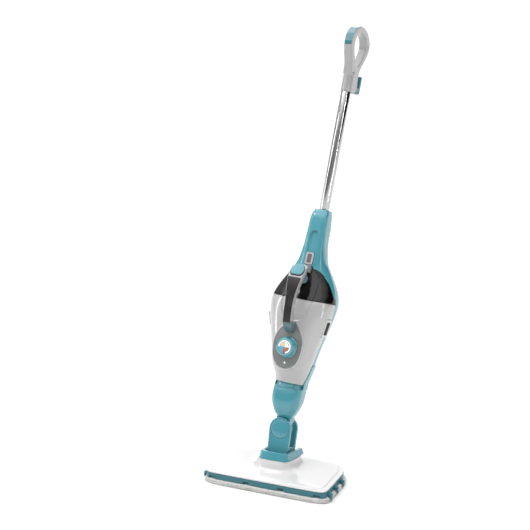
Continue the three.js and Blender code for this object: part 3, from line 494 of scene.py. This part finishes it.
# ------------------------------------------------------------------ making meshes
def scratch(solid):
    verts, faces = solid
    mesh = bpy.data.meshes.new("scratch")
    mesh.from_pydata([tuple(v) for v in verts], [], faces)
    bm = bmesh.new()
    bm.from_mesh(mesh)
    bmesh.ops.triangulate(bm, faces=[f for f in bm.faces if len(f.verts) > 4])
    bmesh.ops.recalc_face_normals(bm, faces=bm.faces)
    bm.to_mesh(mesh)
    bm.free()
    obj = bpy.data.objects.new("scratch", mesh)
    scene.collection.objects.link(obj)
    return obj


def baked(base, helpers):
    bpy.context.view_layer.update()
    evaluated = base.evaluated_get(bpy.context.evaluated_depsgraph_get())
    mesh = bpy.data.meshes.new_from_object(evaluated)
    for obj in [base, *helpers]:
        old = obj.data
        bpy.data.objects.remove(obj)
        bpy.data.meshes.remove(old)
    return mesh


def with_booleans(adds, cuts):
    base = scratch(adds[0])
    helpers = []
    for operation, solids in (("UNION", adds[1:]), ("DIFFERENCE", cuts)):
        for solid in solids:
            tool = scratch(solid)
            tool.hide_render = True
            helpers.append(tool)
            modifier = base.modifiers.new("shape", "BOOLEAN")
            modifier.operation = operation
            modifier.solver = "MANIFOLD"
            modifier.object = tool
    return base, helpers


def solid_of(mesh):
    return np.array([v.co[:] for v in mesh.vertices]), [tuple(p.vertices) for p in mesh.polygons]


def joined(adds, cuts=()):
    """Solids joined and cut, as one solid to build on."""
    return solid_of(baked(*with_booleans(adds, list(cuts))))


def carve(adds, cuts=(), voxel=0.9, smooth=4, share=0.3):
    """A moulding: solids joined and cut, then remeshed and relaxed so that every edge has a radius."""
    base, helpers = with_booleans(adds, list(cuts))
    remesh = base.modifiers.new("remesh", "REMESH")
    remesh.mode = "VOXEL"
    remesh.voxel_size = voxel
    relax = base.modifiers.new("relax", "SMOOTH")
    relax.factor = 0.5
    relax.iterations = smooth
    thin = base.modifiers.new("thin", "DECIMATE")
    thin.ratio = share
    return baked(base, helpers)


def crisp(adds, cuts=(), width=0.5, segments=3):
    """A small moulding whose edges are bevelled."""
    base, helpers = with_booleans(adds, list(cuts))
    bevel = base.modifiers.new("bevel", "BEVEL")
    bevel.width = width
    bevel.segments = segments
    bevel.limit_method = "ANGLE"
    bevel.angle_limit = BEVEL_ANGLE
    bevel.harden_normals = True
    return baked(base, helpers)


def piece(name, mesh, local, body, material, slot, *nodes):
    """Puts a mesh made in a local frame into the row frame, on its body."""
    mesh.transform(local)
    mesh.polygons.foreach_set("use_smooth", [True] * len(mesh.polygons))
    mesh.update()
    mesh.name = name
    mesh.materials.clear()
    mesh.materials.append(material)
    obj = bpy.data.objects.new(name, mesh)
    scene.collection.objects.link(obj)
    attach(obj, body)
    if nodes:
        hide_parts(*nodes)
    return obj


# ------------------------------------------------------------------ floor head
def head_reach(angle, inset):
    squareness = np.where(np.sin(angle) < 0, *HEAD_SQUARENESS)
    return reach(angle, 157 - inset, 84 - inset, squareness)


def head_outline(inset):
    angle = turns(240)
    length = head_reach(angle, inset)
    return np.stack([length * np.cos(angle), length * np.sin(angle)], 1)


def boss_top(y):
    return 61.4 - (y + 29.5) * math.tan(math.radians(7))


def smoothstep(low, high, value):
    t = np.clip((value - low) / (high - low), 0, 1)
    return t * t * (3 - 2 * t)


def head_cover_form():
    profile = spline([
        (0, 27.3, 0), (0, 28.6, 0), (0, 29.8, 0), (0.008, 31.2, 0), (0.03, 32.1, 0), (0.12, 33.4, 0), (0.3, 35.5, 0),
        (0.5, 36.7, 0), (0.7, 37.6, 0), (0.82, 38.3, 0.03), (0.9, 38.5, 0.16), (0.96, 38.5, 0.5), (1, 38.5, 1),
    ], 6)
    angle = turns(300)
    outer = head_reach(angle, 0)
    boss = reach(angle, 46, 50, 3.4)
    rings = []
    for spread, z, rise in profile:
        length = outer + (boss - outer) * spread
        x, y = length * np.cos(angle), 19 * spread + length * np.sin(angle)
        step = smoothstep(0.4, 0.75, np.abs(np.cos(angle))) * smoothstep(0.005, 0.03, spread)
        step = step * (1 - smoothstep(0.1, 0.125, spread)) * 1.8
        rings.append(np.stack([x, y, z + (boss_top(y) - z) * rise - step], 1))
    return loft(np.array(rings))


def make_head():
    pocket = extrude(head_outline(5), 20, 28.2)
    manifold_room = box(-66, 66, -16, 16, 20, 33.4)
    screw_rooms = [rod("z", 4.8, 20, 32.4, x, y, 24) for x, y in ((-120, -58), (120, -58), (-110, 52), (110, 52))]
    well = box(-30.5, 30.5, -8, 100, 36, 80)
    hinge = rod("x", 5.3, -43, 43, PITCH_Y, PITCH_Z)
    cover = carve([head_cover_form()], [pocket, manifold_room, *screw_rooms, well, hinge], 1.0, 4, 0.3)
    piece("head_cover", cover, HEAD, "head", WHITE, "white_plastic", "head_top_cover")

    slab = extrude(head_outline(0.6), 12.3, 27)
    notches = [extrude(rectangle(x - 8, x + 8, 8, 19.6, 1.6), -92, -77, "xz") for x in NOTCH_COLUMNS]
    lip = extrude(head_outline(-0.2), 24.2, 26.2)
    base = carve([slab, lip], notches, 0.9, 3, 0.22)
    piece("head_base", base, HEAD, "head", TEAL_DARK, "teal_plastic", "head_base_plate")
    profile = rounded([(150, 13.4), (163.4, 13.4), (163.4, 4.2), (165.8, 4.2), (166, 17), (163, 20), (150, 20)], 1.1)
    for row, y in enumerate(STRAP_ROWS):
        strap = extrude(profile, y - 4.5, y + 4.5, "xz")
        for word, solid in (("right", strap), ("left", mirrored(strap))):
            piece(f"pad_strap_{word}_{row + 1}", crisp([solid], width=0.7), HEAD, "head", TEAL_DARK, "teal_plastic")

    front, rear = -29.5, 66.0
    half = [quad_curve((0, front - 2), (16, front - 1.6), (26, front)),
            quad_curve((26, front), (38, front), (39, front + 14)),
            np.array([(45, rear - 6)]), quad_curve((45, rear - 6), (45, rear), (39, rear)), np.array([(34, rear)]),
            quad_curve((34, rear), (30.8, rear), (30.5, rear - 6)), np.array([(30.5, -3)]),
            quad_curve((30.5, -4), (30.5, -8), (26, -8), 6)]
    right = np.concatenate(half)
    outline = np.concatenate([right, (right * np.array([-1.0, 1.0]))[::-1]])

    def collar_low(p):
        return boss_top(p[:, 1]) + GAP

    def collar_high(p):
        return collar_low(p) + 18 - (p[:, 1] - front) / (rear - front) * 4

    verts, faces = extrude(outline, collar_low, collar_high)
    top = verts[:, 2] > collar_low(verts) + 3
    verts[top & (np.abs(verts[:, 0]) > 31.5), 0] *= 0.9
    verts[top & (verts[:, 1] < -20), 1] += 8
    collar = carve([(verts, faces)], [box(-24, 24, -12, 0, 66, 90)], 0.7, 7, 0.4)
    piece("neck_collar", collar, HEAD, "head", TEAL, "teal_plastic", "joint_collar")


def pad_form():
    """The pad's core: a soft slab that bulges at its edge and is drawn in under the straps."""
    around = 720
    angle = turns(around)
    squareness = np.where(np.sin(angle) < 0, *PAD_SQUARENESS)
    full = reach(angle, 162.2, 87.2, squareness)
    rng = np.random.default_rng(5)
    rings = []
    turn = np.linspace(-math.pi / 2, math.pi / 2, 11)
    levels = [(share, None, 0.3) for share in (0.25, 0.5, 0.75, 0.9)]
    levels += [(1.0, t, None) for t in turn]
    levels += [(share, None, 11.9) for share in (0.9, 0.75, 0.5, 0.25)]
    for share, t, z in levels:
        inset = 5.2 * (1 - math.cos(t)) if t is not None else 5.2
        height = 6.1 + 5.8 * math.sin(t) if t is not None else z
        length = (full - inset) * share
        x, y = length * np.cos(angle), length * np.sin(angle)
        for row in STRAP_ROWS:
            near = np.exp(-((y - row) / 6.5) ** 2) * (np.abs(x) > 140)
            x = x - np.sign(x) * near * 0.9
        wave = 0.5 * np.sin(angle * 61) + 0.4 * np.sin(angle * 103 + 1.3)
        fuzz = rng.normal(0, 0.22, around)
        grow = (wave * 0.35 + fuzz) * (1 - 0.5 * abs(math.sin(t)) if t is not None else 0.0)
        x, y = x + grow * np.cos(angle), y + grow * np.sin(angle)
        rings.append(np.stack([x, y, np.full(around, height)], 1))
    return loft(np.array(rings))


def tufts():
    """Short looped tufts round the pad's edge, in four rows."""
    rng = np.random.default_rng(11)
    verts, faces = [], []
    ring = turns(5)
    for row, (drop, height) in enumerate(((0.2, 9.6), (0.0, 7.2), (0.0, 4.8), (0.4, 2.6))):
        count = 560
        for i in range(count):
            angle = 2 * math.pi * (i + 0.5 * (row % 2) + rng.uniform(-0.3, 0.3)) / count
            squareness = PAD_SQUARENESS[0] if math.sin(angle) < 0 else PAD_SQUARENESS[1]
            length = float(reach(angle, 162.0, 87.0, squareness)) - drop
            x, y = length * math.cos(angle), length * math.sin(angle)
            if abs(x) > 150 and min(abs(y - r) for r in STRAP_ROWS) < 6:
                continue
            size = rng.uniform(0.8, 1.25)
            centre = np.array([x, y, height + rng.uniform(-0.7, 0.7)])
            out = np.array([math.cos(angle), math.sin(angle), rng.uniform(-0.5, 0.1)])
            out /= np.linalg.norm(out)
            side = np.array([-math.sin(angle), math.cos(angle), 0.0])
            up = np.cross(side, out)
            start = len(verts)
            for along, width in ((-0.6, 0.5), (0.3, 1.0), (1.1, 0.8), (1.5, 0.25)):
                for a in ring:
                    verts.append(centre + size * (out * along + width * (side * math.cos(a) + up * math.sin(a))))
            for k in range(3):
                for j in range(5):
                    n = (j + 1) % 5
                    faces.append((start + k * 5 + j, start + k * 5 + n, start + k * 5 + 5 + n, start + k * 5 + 5 + j))
            faces.append(tuple(start + j for j in reversed(range(5))))
            faces.append(tuple(start + 15 + j for j in range(5)))
    verts = np.array(verts)
    verts[:, 2] = np.clip(verts[:, 2], 0.2, 11.9)
    return verts, faces


def make_pad():
    base = scratch(pad_form())
    pad = piece("mop_pad_cloth", baked(base, []), HEAD, "head", PILE, "microfibre", "mop_pad")
    piece("mop_pad_fringe", baked(scratch(tufts()), []), HEAD, "head", PILE, "microfibre")


# ------------------------------------------------------------------ yoke
def plate_outline():
    return np.concatenate([np.array([(-26, 16)]), arc(0, HUB, 28, math.pi, 0, 60), np.array([(26, 16)])])


def make_yoke():
    plates = [extrude(plate_outline(), -26, -17, "xz"), extrude(plate_outline(), 17, 26, "xz")]
    wedge = extrude(rounded([(-26, 16), (-26, 30), (26, 30), (26, 24), (12, 0), (-12, 0)], 1.5), -26, 26, "yz")
    knuckle = rod("x", 12, -30, 30, 0, 0)
    rear_low = extrude(np.array([(16, -5), (40, -5), (40, 25), (25, 25)], float), -40, 40, "yz")
    pins = [rod("x", 5.3, -40, -13.7, 0, 0), rod("x", 5.3, 13.7, 40, 0, 0)]
    bore = rod("y", 8.3, -40, 40, 0, HUB)
    recesses = [rod("y", 23.9, -40, -23, 0, HUB), rod("y", 23.9, 23, 40, 0, HUB)]
    frame_mesh = carve([*plates, wedge, knuckle], [rear_low, *pins, bore, *recesses], 0.7, 4, 0.35)
    piece("yoke_fork", frame_mesh, YOKE, "yoke", TEAL, "teal_plastic", "yoke_frame")
    dome = [(23.2, 0.3), (23.4, 0.6), (23.4, 1.7)]
    dome += [(23.3 * math.cos(t), 2.0 + 3.0 * math.sin(t)) for t in np.linspace(0.08, 1.54, 16)]
    for sign, word in ((-1, "front"), (1, "rear")):
        cap = lathe([(0.001, 0.3), *dome, (0.1, 5.0)])
        turn = facing_front(-23, HUB)
        if sign > 0:
            turn = Matrix.Scale(-1, 4, (0, 1, 0)) @ turn
        mesh = baked(scratch(moved(cap, turn)), [])
        piece(f"hub_cap_{word}", mesh, YOKE, "yoke", TEAL, "teal_plastic", f"yoke_cap_{word}")


# ------------------------------------------------------------------ mast
def make_boot():
    cup = body_slice(22, 103.5, 0, 2.5)
    ledge = body_slice(101, 113.4, 3.5, 3)
    arm_out, arm_in = body_slice(102, 164, -1.6, 3), body_slice(104, 166, 1.0, 3)
    front = box(-90, 90, -90, PARTING + GAP, 90, 200)
    arm_solid = joined([arm_out], [arm_in, front])
    hollow = body_slice(44, 117, 6.5, 4)
    tongue = extrude(np.concatenate([np.array([(-17, 44), (-19, 0)]), arc(0, 0, 19, math.pi, 2 * math.pi, 30),
                                     np.array([(17, 44)])]), -16, 16, "xz")
    stop = rod("y", 29.2, -60, 60, 0, 0)
    cheeks = [box(-40, 40, -60, -16, 0, 24), box(-40, 40, 16, 60, 0, 24)]
    shell_solid = joined([cup, ledge, arm_solid], [hollow, stop, *cheeks])
    rib = extrude(rectangle(14.2, 18.2, 101, 113, 1.2), -33.2, -24, "xz")
    shield = rounded([(-27, 96), (27, 96), (26, 62), (17, 34), (-17, 34), (-26, 62)], 7)
    beyond = joined([box(-70, 70, -90, 0, 20, 110)], [extrude(shield, -91, 1, "xz")])
    panel = joined([body_slice(30, 99, -1.3, 3)], [beyond, box(-70, 70, -20, 90, 10, 120)])
    mesh = carve([shell_solid, tongue, rib, panel], [rod("y", 11.3, -40, 40, 0, 0)], 0.7, 3, 0.3)
    piece("boot_moulding", mesh, MAST, "mast", TEAL, "teal_plastic", "boot")


LATCH_TURN = (Matrix.Translation((69.5, -31, 261)) @ Matrix.Rotation(math.radians(-30), 4, "Z")
              @ Matrix.Rotation(math.radians(12.5), 4, "Y"))


def latch_block(grow, inward):
    return moved(box(-6.5 - inward, 6.5, -8 - grow, 8 + grow, -22 - grow, 22 + grow), LATCH_TURN)


def latch_bar(low, high, grow):
    outline = rectangle(-4 - grow, 4 + grow, -16 - grow, 16 + grow, 2)
    return moved(extrude(outline, low, high, "yz"), LATCH_TURN)


OPENING_EDGE = [(100, 100), (100, 318), (81, 322), (75.2, 334.5), (65.3, 353), (57.5, 365), (46.4, 377.5),
                (40, 384.5), (33.3, 389.3), (28, 392), (22, 393.8), (14, 395), (14, 399.7)]


def opening_outline(grow):
    right = np.array(OPENING_EDGE, float) + grow
    return np.concatenate([right, (right * np.array([-1.0, 1.0]))[::-1]])


def make_housing():
    form = body_slice(165, 541, 0, 2.6, 200)
    front = extrude(opening_outline(GAP), -100, PARTING + GAP, "xz")
    cavity = body_slice(155, 428, 2.7, 4, 120)
    socket = rod("z", 12.3, 467, 546, 0, 0)
    window_turn = Matrix.Translation((0, -40.8, 419)) @ Matrix.Rotation(math.radians(-8), 4, "X")
    window = moved(extrude(rectangle(-10, 10, -15.5, 15.5, 3), 0, 15, "xz"), window_turn)
    groove_outline = np.concatenate([arc(0, 478, 10, 0, math.pi, 30), np.array([(-10, 430), (10, 430)])])
    groove = extrude(groove_outline, -60, lambda p: -34.6 + (p[:, 1] - 434) * 6.4 / 54, "xz")
    gland = rod("y", 10, 20, 60, 0, 232)
    mesh = carve([form], [front, cavity, socket, window, groove, gland], 0.9, 3, 0.28)
    piece("mast_housing", mesh, MAST, "mast", TEAL, "teal_plastic", "rear_housing")
    button = moved(extrude(rectangle(-9.5, 9.5, -15, 15, 4), 0, 9, "xz"), window_turn)
    inlay = moved(extrude(rectangle(-5.6, 5.6, -11, 11, 2.6), -2, 1.8, "xz"), window_turn)
    piece("release_key", crisp([button], [inlay], 0.8), MAST, "release_button", BUTTON, "button_grey_plastic",
          "release_button")
    inset = moved(extrude(rectangle(-5.3, 5.3, -10.7, 10.7, 2.4), 1.2, 2.2, "xz"), window_turn)
    piece("release_inset", crisp([inset], width=0.3), MAST, "release_button", INSET, "button_grey_plastic")


def make_pole():
    profile = [(11.2, 470), (11.8, 470), (12, 470.3), (12, 883.6), (11.8, 884), (11.2, 884)]
    outer = lathe([(0.001, 470), *profile, (0.001, 884)], 128)
    bore = rod("z", 11, 465, 890, 0, 0, 96)
    base, tools = with_booleans([outer], [bore])
    piece("chrome_tube", baked(base, tools), MAST, "mast", CHROME, "chrome", "pole_tube")


HANDLE_OUTER = [(-16, 880), (-24, 905), (-41, 930), (-48, 950), (-43, 972), (-26, 990), (0, 1000), (28, 1002),
                (56, 996), (77, 980), (82, 960), (73, 940), (56, 918), (42, 898), (36, 880)]
HANDLE_OPENING = [(10, 906), (-9, 922), (-23, 944), (-22, 964), (-6, 980), (20, 986), (45, 980), (58, 962), (52, 940),
                  (34, 916), (24, 907), (10, 906)]
INSERT_BAND = [(-37, 945), (-35, 971), (-15, 987.5), (11, 992.8), (11, 1001.6), (-1, 1000.4), (-26, 990.4),
               (-43, 972.4), (-48.2, 952), (-47, 945)]


def make_handle():
    outline = np.concatenate([np.array([(36, 846), (16, 836), (-13.8, 836)], float), spline(HANDLE_OUTER, 8)])

    def width(p):
        return 14 + (10.4 - 14) * smoothstep(846, 905, p[:, 1])

    form = extrude(outline, lambda p: -width(p), width, "yz")
    opening = extrude(spline(HANDLE_OPENING, 8), -30, 30, "yz")
    bore = rod("z", 12.3, 831, 886, 0, 0)
    seat = extrude(np.array([(-70, 944), (-36.6, 944), (-34.6, 971.4), (-14.6, 987.7), (11.6, 993), (11.6, 1020),
                             (-70, 1020)], float), -8.9, 8.9, "yz")
    stud = box(-4.3, 4.3, 30, 60, 845.7, 854.3)
    screw = rod("x", 2.6, 7.5, 30, 66, 968)
    square = joined([form], [box(-20, 20, -20, 0, 830, 878)])
    collar = rod("z", 14, 836, 884, 0, 0)
    mesh = carve([square, collar], [opening, bore, stud], 0.9, 34, 0.45)
    base, tools = with_booleans([solid_of(mesh)], [seat, bore, screw])
    piece("d_handle", baked(base, tools), MAST, "mast", PALE, "pale_grey_plastic", "handle_shell")
    band = extrude(np.array(INSERT_BAND, float), -8.6, 8.6, "yz")
    piece("d_handle_insert", carve([band], (), 0.45, 5, 0.4), MAST, "mast", TEAL_INSERT, "teal_plastic",
          "handle_insert")


def hook(y, z, half, reach_out, length, up):
    lip = [(0, -7), (reach_out, -7), (reach_out + 4, 0), (reach_out + 4, length), (reach_out - 1, length + 3),
           (reach_out - 4, length - 2), (reach_out - 4, 7), (0, 7)]
    outline = rounded([(y + u, z + up * v) for u, v in lip], 2.5)
    return extrude(outline, -half, half, "yz")


def make_hooks():
    upper = [hook(37.4, 850, 12, 20, 36, 1), rod("y", 3.4, 32.4, 40, 0, 850)]
    piece("cord_hook_upper", crisp(upper, width=1.0), MAST, "upper_hook", TEAL_DARK, "teal_plastic",
          "upper_cord_hook")
    lower = [hook(15.6, 501, 15, 11, 38, -1)]
    piece("cord_hook_lower", crisp(lower, width=1.0), MAST, "mast", BLACK, "black_plastic", "lower_cord_hook")


# ------------------------------------------------------------------ hand-held unit
def panel_outline(grow=0.0):
    g = grow
    left = [np.array([(-9 - g, 262 + g)]), quad_curve((-24 - g, 242), (-37 - g, 222), (-35 - g, 200)),
            quad_curve((-35 - g, 200), (-32 - g, 150 - g), (0, 150 - g), 16)]
    right = [quad_curve((0, 150 - g), (32 + g, 150 - g), (35 + g, 200), 16),
             quad_curve((35 + g, 200), (37 + g, 222), (24 + g, 242)), np.array([(9 + g, 262 + g)])]
    return np.concatenate(left + right)


SCOOP = [(-14, 398), (-27.5, 387), (-35.6, 377), (-39.3, 360), (-39.3, 332), (-38.5, 312), (-34, 288), (-25, 272),
         (-10, 266), (10, 266), (25, 272), (34, 288), (38.5, 312), (39.3, 332), (39.3, 360), (35.6, 377), (27.5, 387),
         (14, 398)]


def scoop(depth):
    """The shallow recess behind the carry handle, as a tool that cuts that deep into the body's form."""
    return joined([extrude(rounded(SCOOP, 6), -100, -30, "xz")], [body_slice(255, 405, depth, 3)])


def make_cover():
    outer = body_slice(114, 319, 0, 2.6, 200)
    behind = box(-100, 100, PARTING, 100, 100, 330)
    bezel = extrude(panel_outline(3.4), -77.2, -58, "xz")
    cavity = joined([body_slice(118, 315, 6.5, 5, 100)], [box(-60, 60, -90, -64, 100, 330)])
    recess = extrude(panel_outline(GAP), -90, -71.2, "xz")
    spindle = rod("y", 9, -80, -50, 0, DIAL_Z)
    latches = [latch_block(0.5, 4), mirrored(latch_block(0.5, 4))]
    mesh = carve([outer, bezel], [scoop(3.2), behind, cavity, recess, spindle, *latches], 0.9, 6, 0.3)
    # The cover takes the darker white, which is painted shade.
    piece("unit_cover", mesh, MAST, "hand_unit", WHITE_PAINTED_SHADE, "white_plastic", "front_cover")


def filler_turn():
    return Matrix.Translation((0, -53, 366)) @ Matrix.Rotation(math.pi - math.radians(22), 4, "X") @ Matrix.Rotation(
        -math.pi / 2, 4, "X")


def make_tank():
    opening = extrude(opening_outline(0), -100, 0, "xz")
    outside = extrude(np.array([(-120, 300), (120, 300), (120, 420), (-120, 420)], float), -101, 1, "xz")
    beyond = joined([outside], [opening])
    outer = joined([body_slice(319.5, 398.5, 0, 2.4, 200)], [box(-100, 100, PARTING, 100, 310, 410), beyond])
    beyond_room = joined([outside], [extrude(opening_outline(-2.2), -102, 2, "xz")])
    inner = joined([body_slice(322, 396, 3.4, 3)], [box(-100, 100, PARTING - 2, 100, 310, 410), beyond_room])
    saddle = box(-13, 13, -100, -20.5, 383.5, 420)
    walls = joined([outer], [inner])
    neck = moved(lathe([(0.001, -7), (10, -7), (10, 1.5), (0.001, 1.5)]), filler_turn())
    bore = moved(lathe([(0.001, -14), (7.2, -14), (7.2, 12), (0.001, 12)]), filler_turn())
    mesh = carve([walls, neck], [scoop(1.4), saddle, bore], 0.7, 8, 0.3)
    piece("tank_shell", mesh, MAST, "hand_unit", SMOKE, "smoke_plastic", "water_tank")
    rim = [(0.001, 1.8), (11.4, 1.8), (12, 2.4), (12, 4.4), (11.2, 5), (9, 5), (8.4, 4.6), (0.001, 4.6)]
    cap = moved(lathe(rim), filler_turn())
    plug = moved(lathe([(0.001, -5), (6.8, -5), (6.8, 3), (0.001, 3)]), filler_turn())
    bar = moved(extrude(rectangle(-10, 10, -2, 2, 1.5), 4, 7), filler_turn())
    piece("filler_cap", crisp([cap, plug, bar], width=0.4), MAST, "tank_cap", TEAL_DARK, "teal_plastic", "tank_cap")


def dial_profile():
    return [(0.001, 0.5), (25.1, 0.5), (25.5, 0.9), (25.5, 5.6), (25.1, 6.4), (23.2, 8.3), (22.8, 9.2), (21.6, 17),
            (21.2, 17.9), (20, 18.8), (19.3, 19), (17.2, 19), (16.8, 18.7), (16.8, 17.5), (0.001, 17.5)]


def make_dial():
    panel = crisp([extrude(panel_outline(), -76, -71.2, "xz")], [rod("y", 7.5, -90, -60, 0, DIAL_Z)], 0.8)
    piece("dial_plate", panel, MAST, "hand_unit", PANEL, "panel_grey_plastic", "dial_panel")
    mark = extrude(np.array([(-3.2, 161.5), (3.2, 161.5), (0, 167.5)], float), -76.35, -75.5, "xz")
    piece("dial_index", crisp([mark], width=0.1), MAST, "hand_unit", MARK_WHITE, "white_plastic")
    here = facing_front(-76, DIAL_Z)
    knob = moved(lathe(dial_profile(), 128), here)
    spindle = rod("y", 5, -80, -52, 0, DIAL_Z)
    piece("dial_grip", crisp([knob, spindle], width=0.25), MAST, "dial", TEAL, "teal_plastic", "dial_knob")
    disc = moved(lathe([(0.001, 17.8), (16.3, 17.8), (16.3, 18.9), (16, 19.1), (0.001, 19.1)]), here)
    piece("dial_disc", baked(scratch(disc), []), MAST, "dial", MARK_TEAL, "teal_plastic", "dial_face")

    def sector(name, start, end, inner, outer, material, low=19.1, high=19.35):
        a = np.radians(np.linspace(start, end, 40))
        ring = np.concatenate([np.stack([outer * np.cos(a), outer * np.sin(a)], 1),
                               np.stack([inner * np.cos(a), inner * np.sin(a)], 1)[::-1]])
        mesh = baked(scratch(moved(extrude(ring, low, high), here)), [])
        piece(name, mesh, MAST, "dial", material, "white_plastic")

    sector("dial_ring", -70, 185, 12.4, 16.0, MARK_WHITE)
    sector("dial_sector_low", 92, 178, 0.4, 11.2, MARK_BEIGE)
    sector("dial_sector_middle", 2, 88, 0.4, 11.2, MARK_WHITE)
    sector("dial_sector_high", -68, -2, 0.4, 11.2, MARK_BROWN)
    pointer = np.array([(-2.6, -6), (2.6, -6), (1.4, -15.4), (0, -16.2), (-1.4, -15.4)], float)
    mesh = baked(scratch(moved(extrude(pointer, 19.1, 19.8), here)), [])
    piece("dial_pointer", mesh, MAST, "dial", MARK_RED, "teal_plastic")


CARRY_OUTER = [(-96, 245), (-108, 256), (-114.5, 275), (-118, 300), (-118.5, 326), (-115.5, 352), (-106.5, 377),
               (-88, 396), (-66, 402)]
CARRY_INNER = [(-72, 384), (-88, 374), (-98.5, 352), (-103, 325), (-102, 300), (-98, 279), (-91, 266)]


def carry_width(p):
    upward = smoothstep(300, 388, p[:, 1])
    backward = np.clip((p[:, 0] + 88) / 22, 0, 1)
    return np.minimum(11 + 8 * upward, 19 - 8.5 * backward)


def button_block(grow, outward, inward):
    corners = [(-15.5, -8.25), (-11.16, -16.5), (11.16, -16.5), (15.5, -8.25), (15.5, 3.3), (7.75, 16.5),
               (-7.75, 16.5), (-15.5, 3.3)]
    outline = rounded([(u * (1 + grow / 15.5), v * (1 + grow / 16.5)) for u, v in corners], 1.5)
    turn = Matrix.Translation((0, -99.5, 387.5)) @ Matrix.Rotation(math.radians(48), 4, "X")
    return moved(extrude(outline, -inward, outward), turn)


def make_carry_handle():
    outer = spline([(-76.3, 236), *CARRY_OUTER], 10)
    inner = spline([(-50, 384.5), *[(y - 2.5, z) for y, z in CARRY_INNER]], 10)
    outline = np.concatenate([outer, np.array([(-47, 402.5), (-46, 398.8), (-22, 398.8), (-22, 384.5)], float), inner,
                              np.array([(-76.3, 259)], float)])
    form = extrude(outline, lambda p: -carry_width(p), carry_width, "yz")
    foot = box(-30, 30, -120, -60, 225, 263)
    mesh = carve([joined([form], [foot])], [button_block(1, 12, 6.5)], 0.8, 7, 0.35)
    piece("carry_grip", mesh, MAST, "hand_unit", PALE, "pale_grey_plastic", "carry_handle")
    shoe = joined([form], [box(-30, 30, -130, 0, 262.6, 410)])
    piece("carry_foot", carve([shoe], (), 0.7, 5, 0.4), MAST, "hand_unit", SLATE, "pale_grey_plastic")
    dense = spline([(-76.3, 236), *CARRY_OUTER], 60)
    first, last = (int(len(dense) * share) for share in GRIP_SPAN)
    span = dense[first:last]
    tangent = np.gradient(span, axis=0)
    tangent /= np.linalg.norm(tangent, axis=1)[:, None]
    outward = np.stack([-tangent[:, 1], tangent[:, 0]], 1)
    strip_outline = np.concatenate([span + outward * GAP, (span + outward * 2.2)[::-1]])
    strip = extrude(strip_outline, lambda p: 1.9 - carry_width(p), lambda p: carry_width(p) - 1.9, "yz")
    piece("grip_inlay", carve([strip], [button_block(1, 12, 6.5)], 0.5, 3, 0.5), MAST, "hand_unit", SOFT,
          "black_plastic", "grip_strip")
    key = button_block(0, 2.4, 2.5)
    piece("steam_key", crisp([key], width=1.0), MAST, "steam_button", TEAL, "teal_plastic", "steam_button")
    # A black ring sunk just under the surface in the gap round the steam key, giving it a dark outline.
    seat = joined([button_block(0.8, -0.3, 5.5)], [button_block(0.25, 20, 20)])
    piece("steam_key_dark_ring", crisp([seat], (), 0.1), MAST, "hand_unit", BLACK, "black_plastic")


def make_latches():
    for sign, word in ((1, "right"), (-1, "left")):
        bezel, hole, bar = latch_block(0, 0), latch_bar(-20, 30, GAP), latch_bar(-2, 7.3, 0)
        if sign < 0:
            bezel, hole, bar = mirrored(bezel), mirrored(hole), mirrored(bar)
        piece(f"latch_surround_{word}", crisp([bezel], [hole], 1.1, 4), MAST, "hand_unit", WHITE, "white_plastic",
              f"latch_bezel_{word}")
        piece(f"latch_key_{word}", crisp([bar], (), 0.5), MAST, f"latch_{word}", BLACK, "black_plastic",
              f"latch_button_{word}")


# ------------------------------------------------------------------ carried-over CAD pieces
def finish_frame_nodes():
    finishes = {"teal_plastic": TEAL, "white_plastic": WHITE, "pale_grey_plastic": PALE, "panel_grey_plastic": PANEL,
                "button_grey_plastic": BUTTON, "black_plastic": BLACK, "smoke_plastic": SMOKE, "natural_nylon": NYLON,
                "microfibre": PILE, "chrome": CHROME, "steel": STEEL, "aluminium": CAST}
    slots = {part["node"]: part["material_slot"] for part in frame["record"]["subparts"]}
    for name, node in frame["nodes"].items():
        material = HOSE if "hose" in name or "gland" in name else finishes[slots[name]]
        node.data.materials.clear()
        node.data.materials.append(material)


def make_floor():
    far = FLOOR_REACH
    verts, faces = [(-far, -far, 0), (far, -far, 0), (far, far, 0), (-far, far, 0)], [(0, 1, 2, 3)]
    mesh = bpy.data.meshes.new("floor")
    mesh.from_pydata(verts, [], faces)
    material, nodes, links, shader = tree_of("floor")
    coord = nodes.new("ShaderNodeTexCoord").outputs["Object"]
    shade = noise(nodes, links, coord, 3.0, 2.0)
    links.new(mix(nodes, links, shade, (0.88, 0.88, 0.88, 1), (0.9, 0.9, 0.9, 1)), shader.inputs["Base Color"])
    shader.inputs["Roughness"].default_value = 0.9
    mesh.materials.append(material)
    floor = bpy.data.objects.new("floor", mesh)
    scene.collection.objects.link(floor)


make_camera()
make_studio()
make_floor()
finish_frame_nodes()
make_head()
make_pad()
make_yoke()
make_boot()
make_housing()
make_pole()
make_handle()
make_hooks()
make_cover()
make_tank()
make_dial()
make_carry_handle()
make_latches()
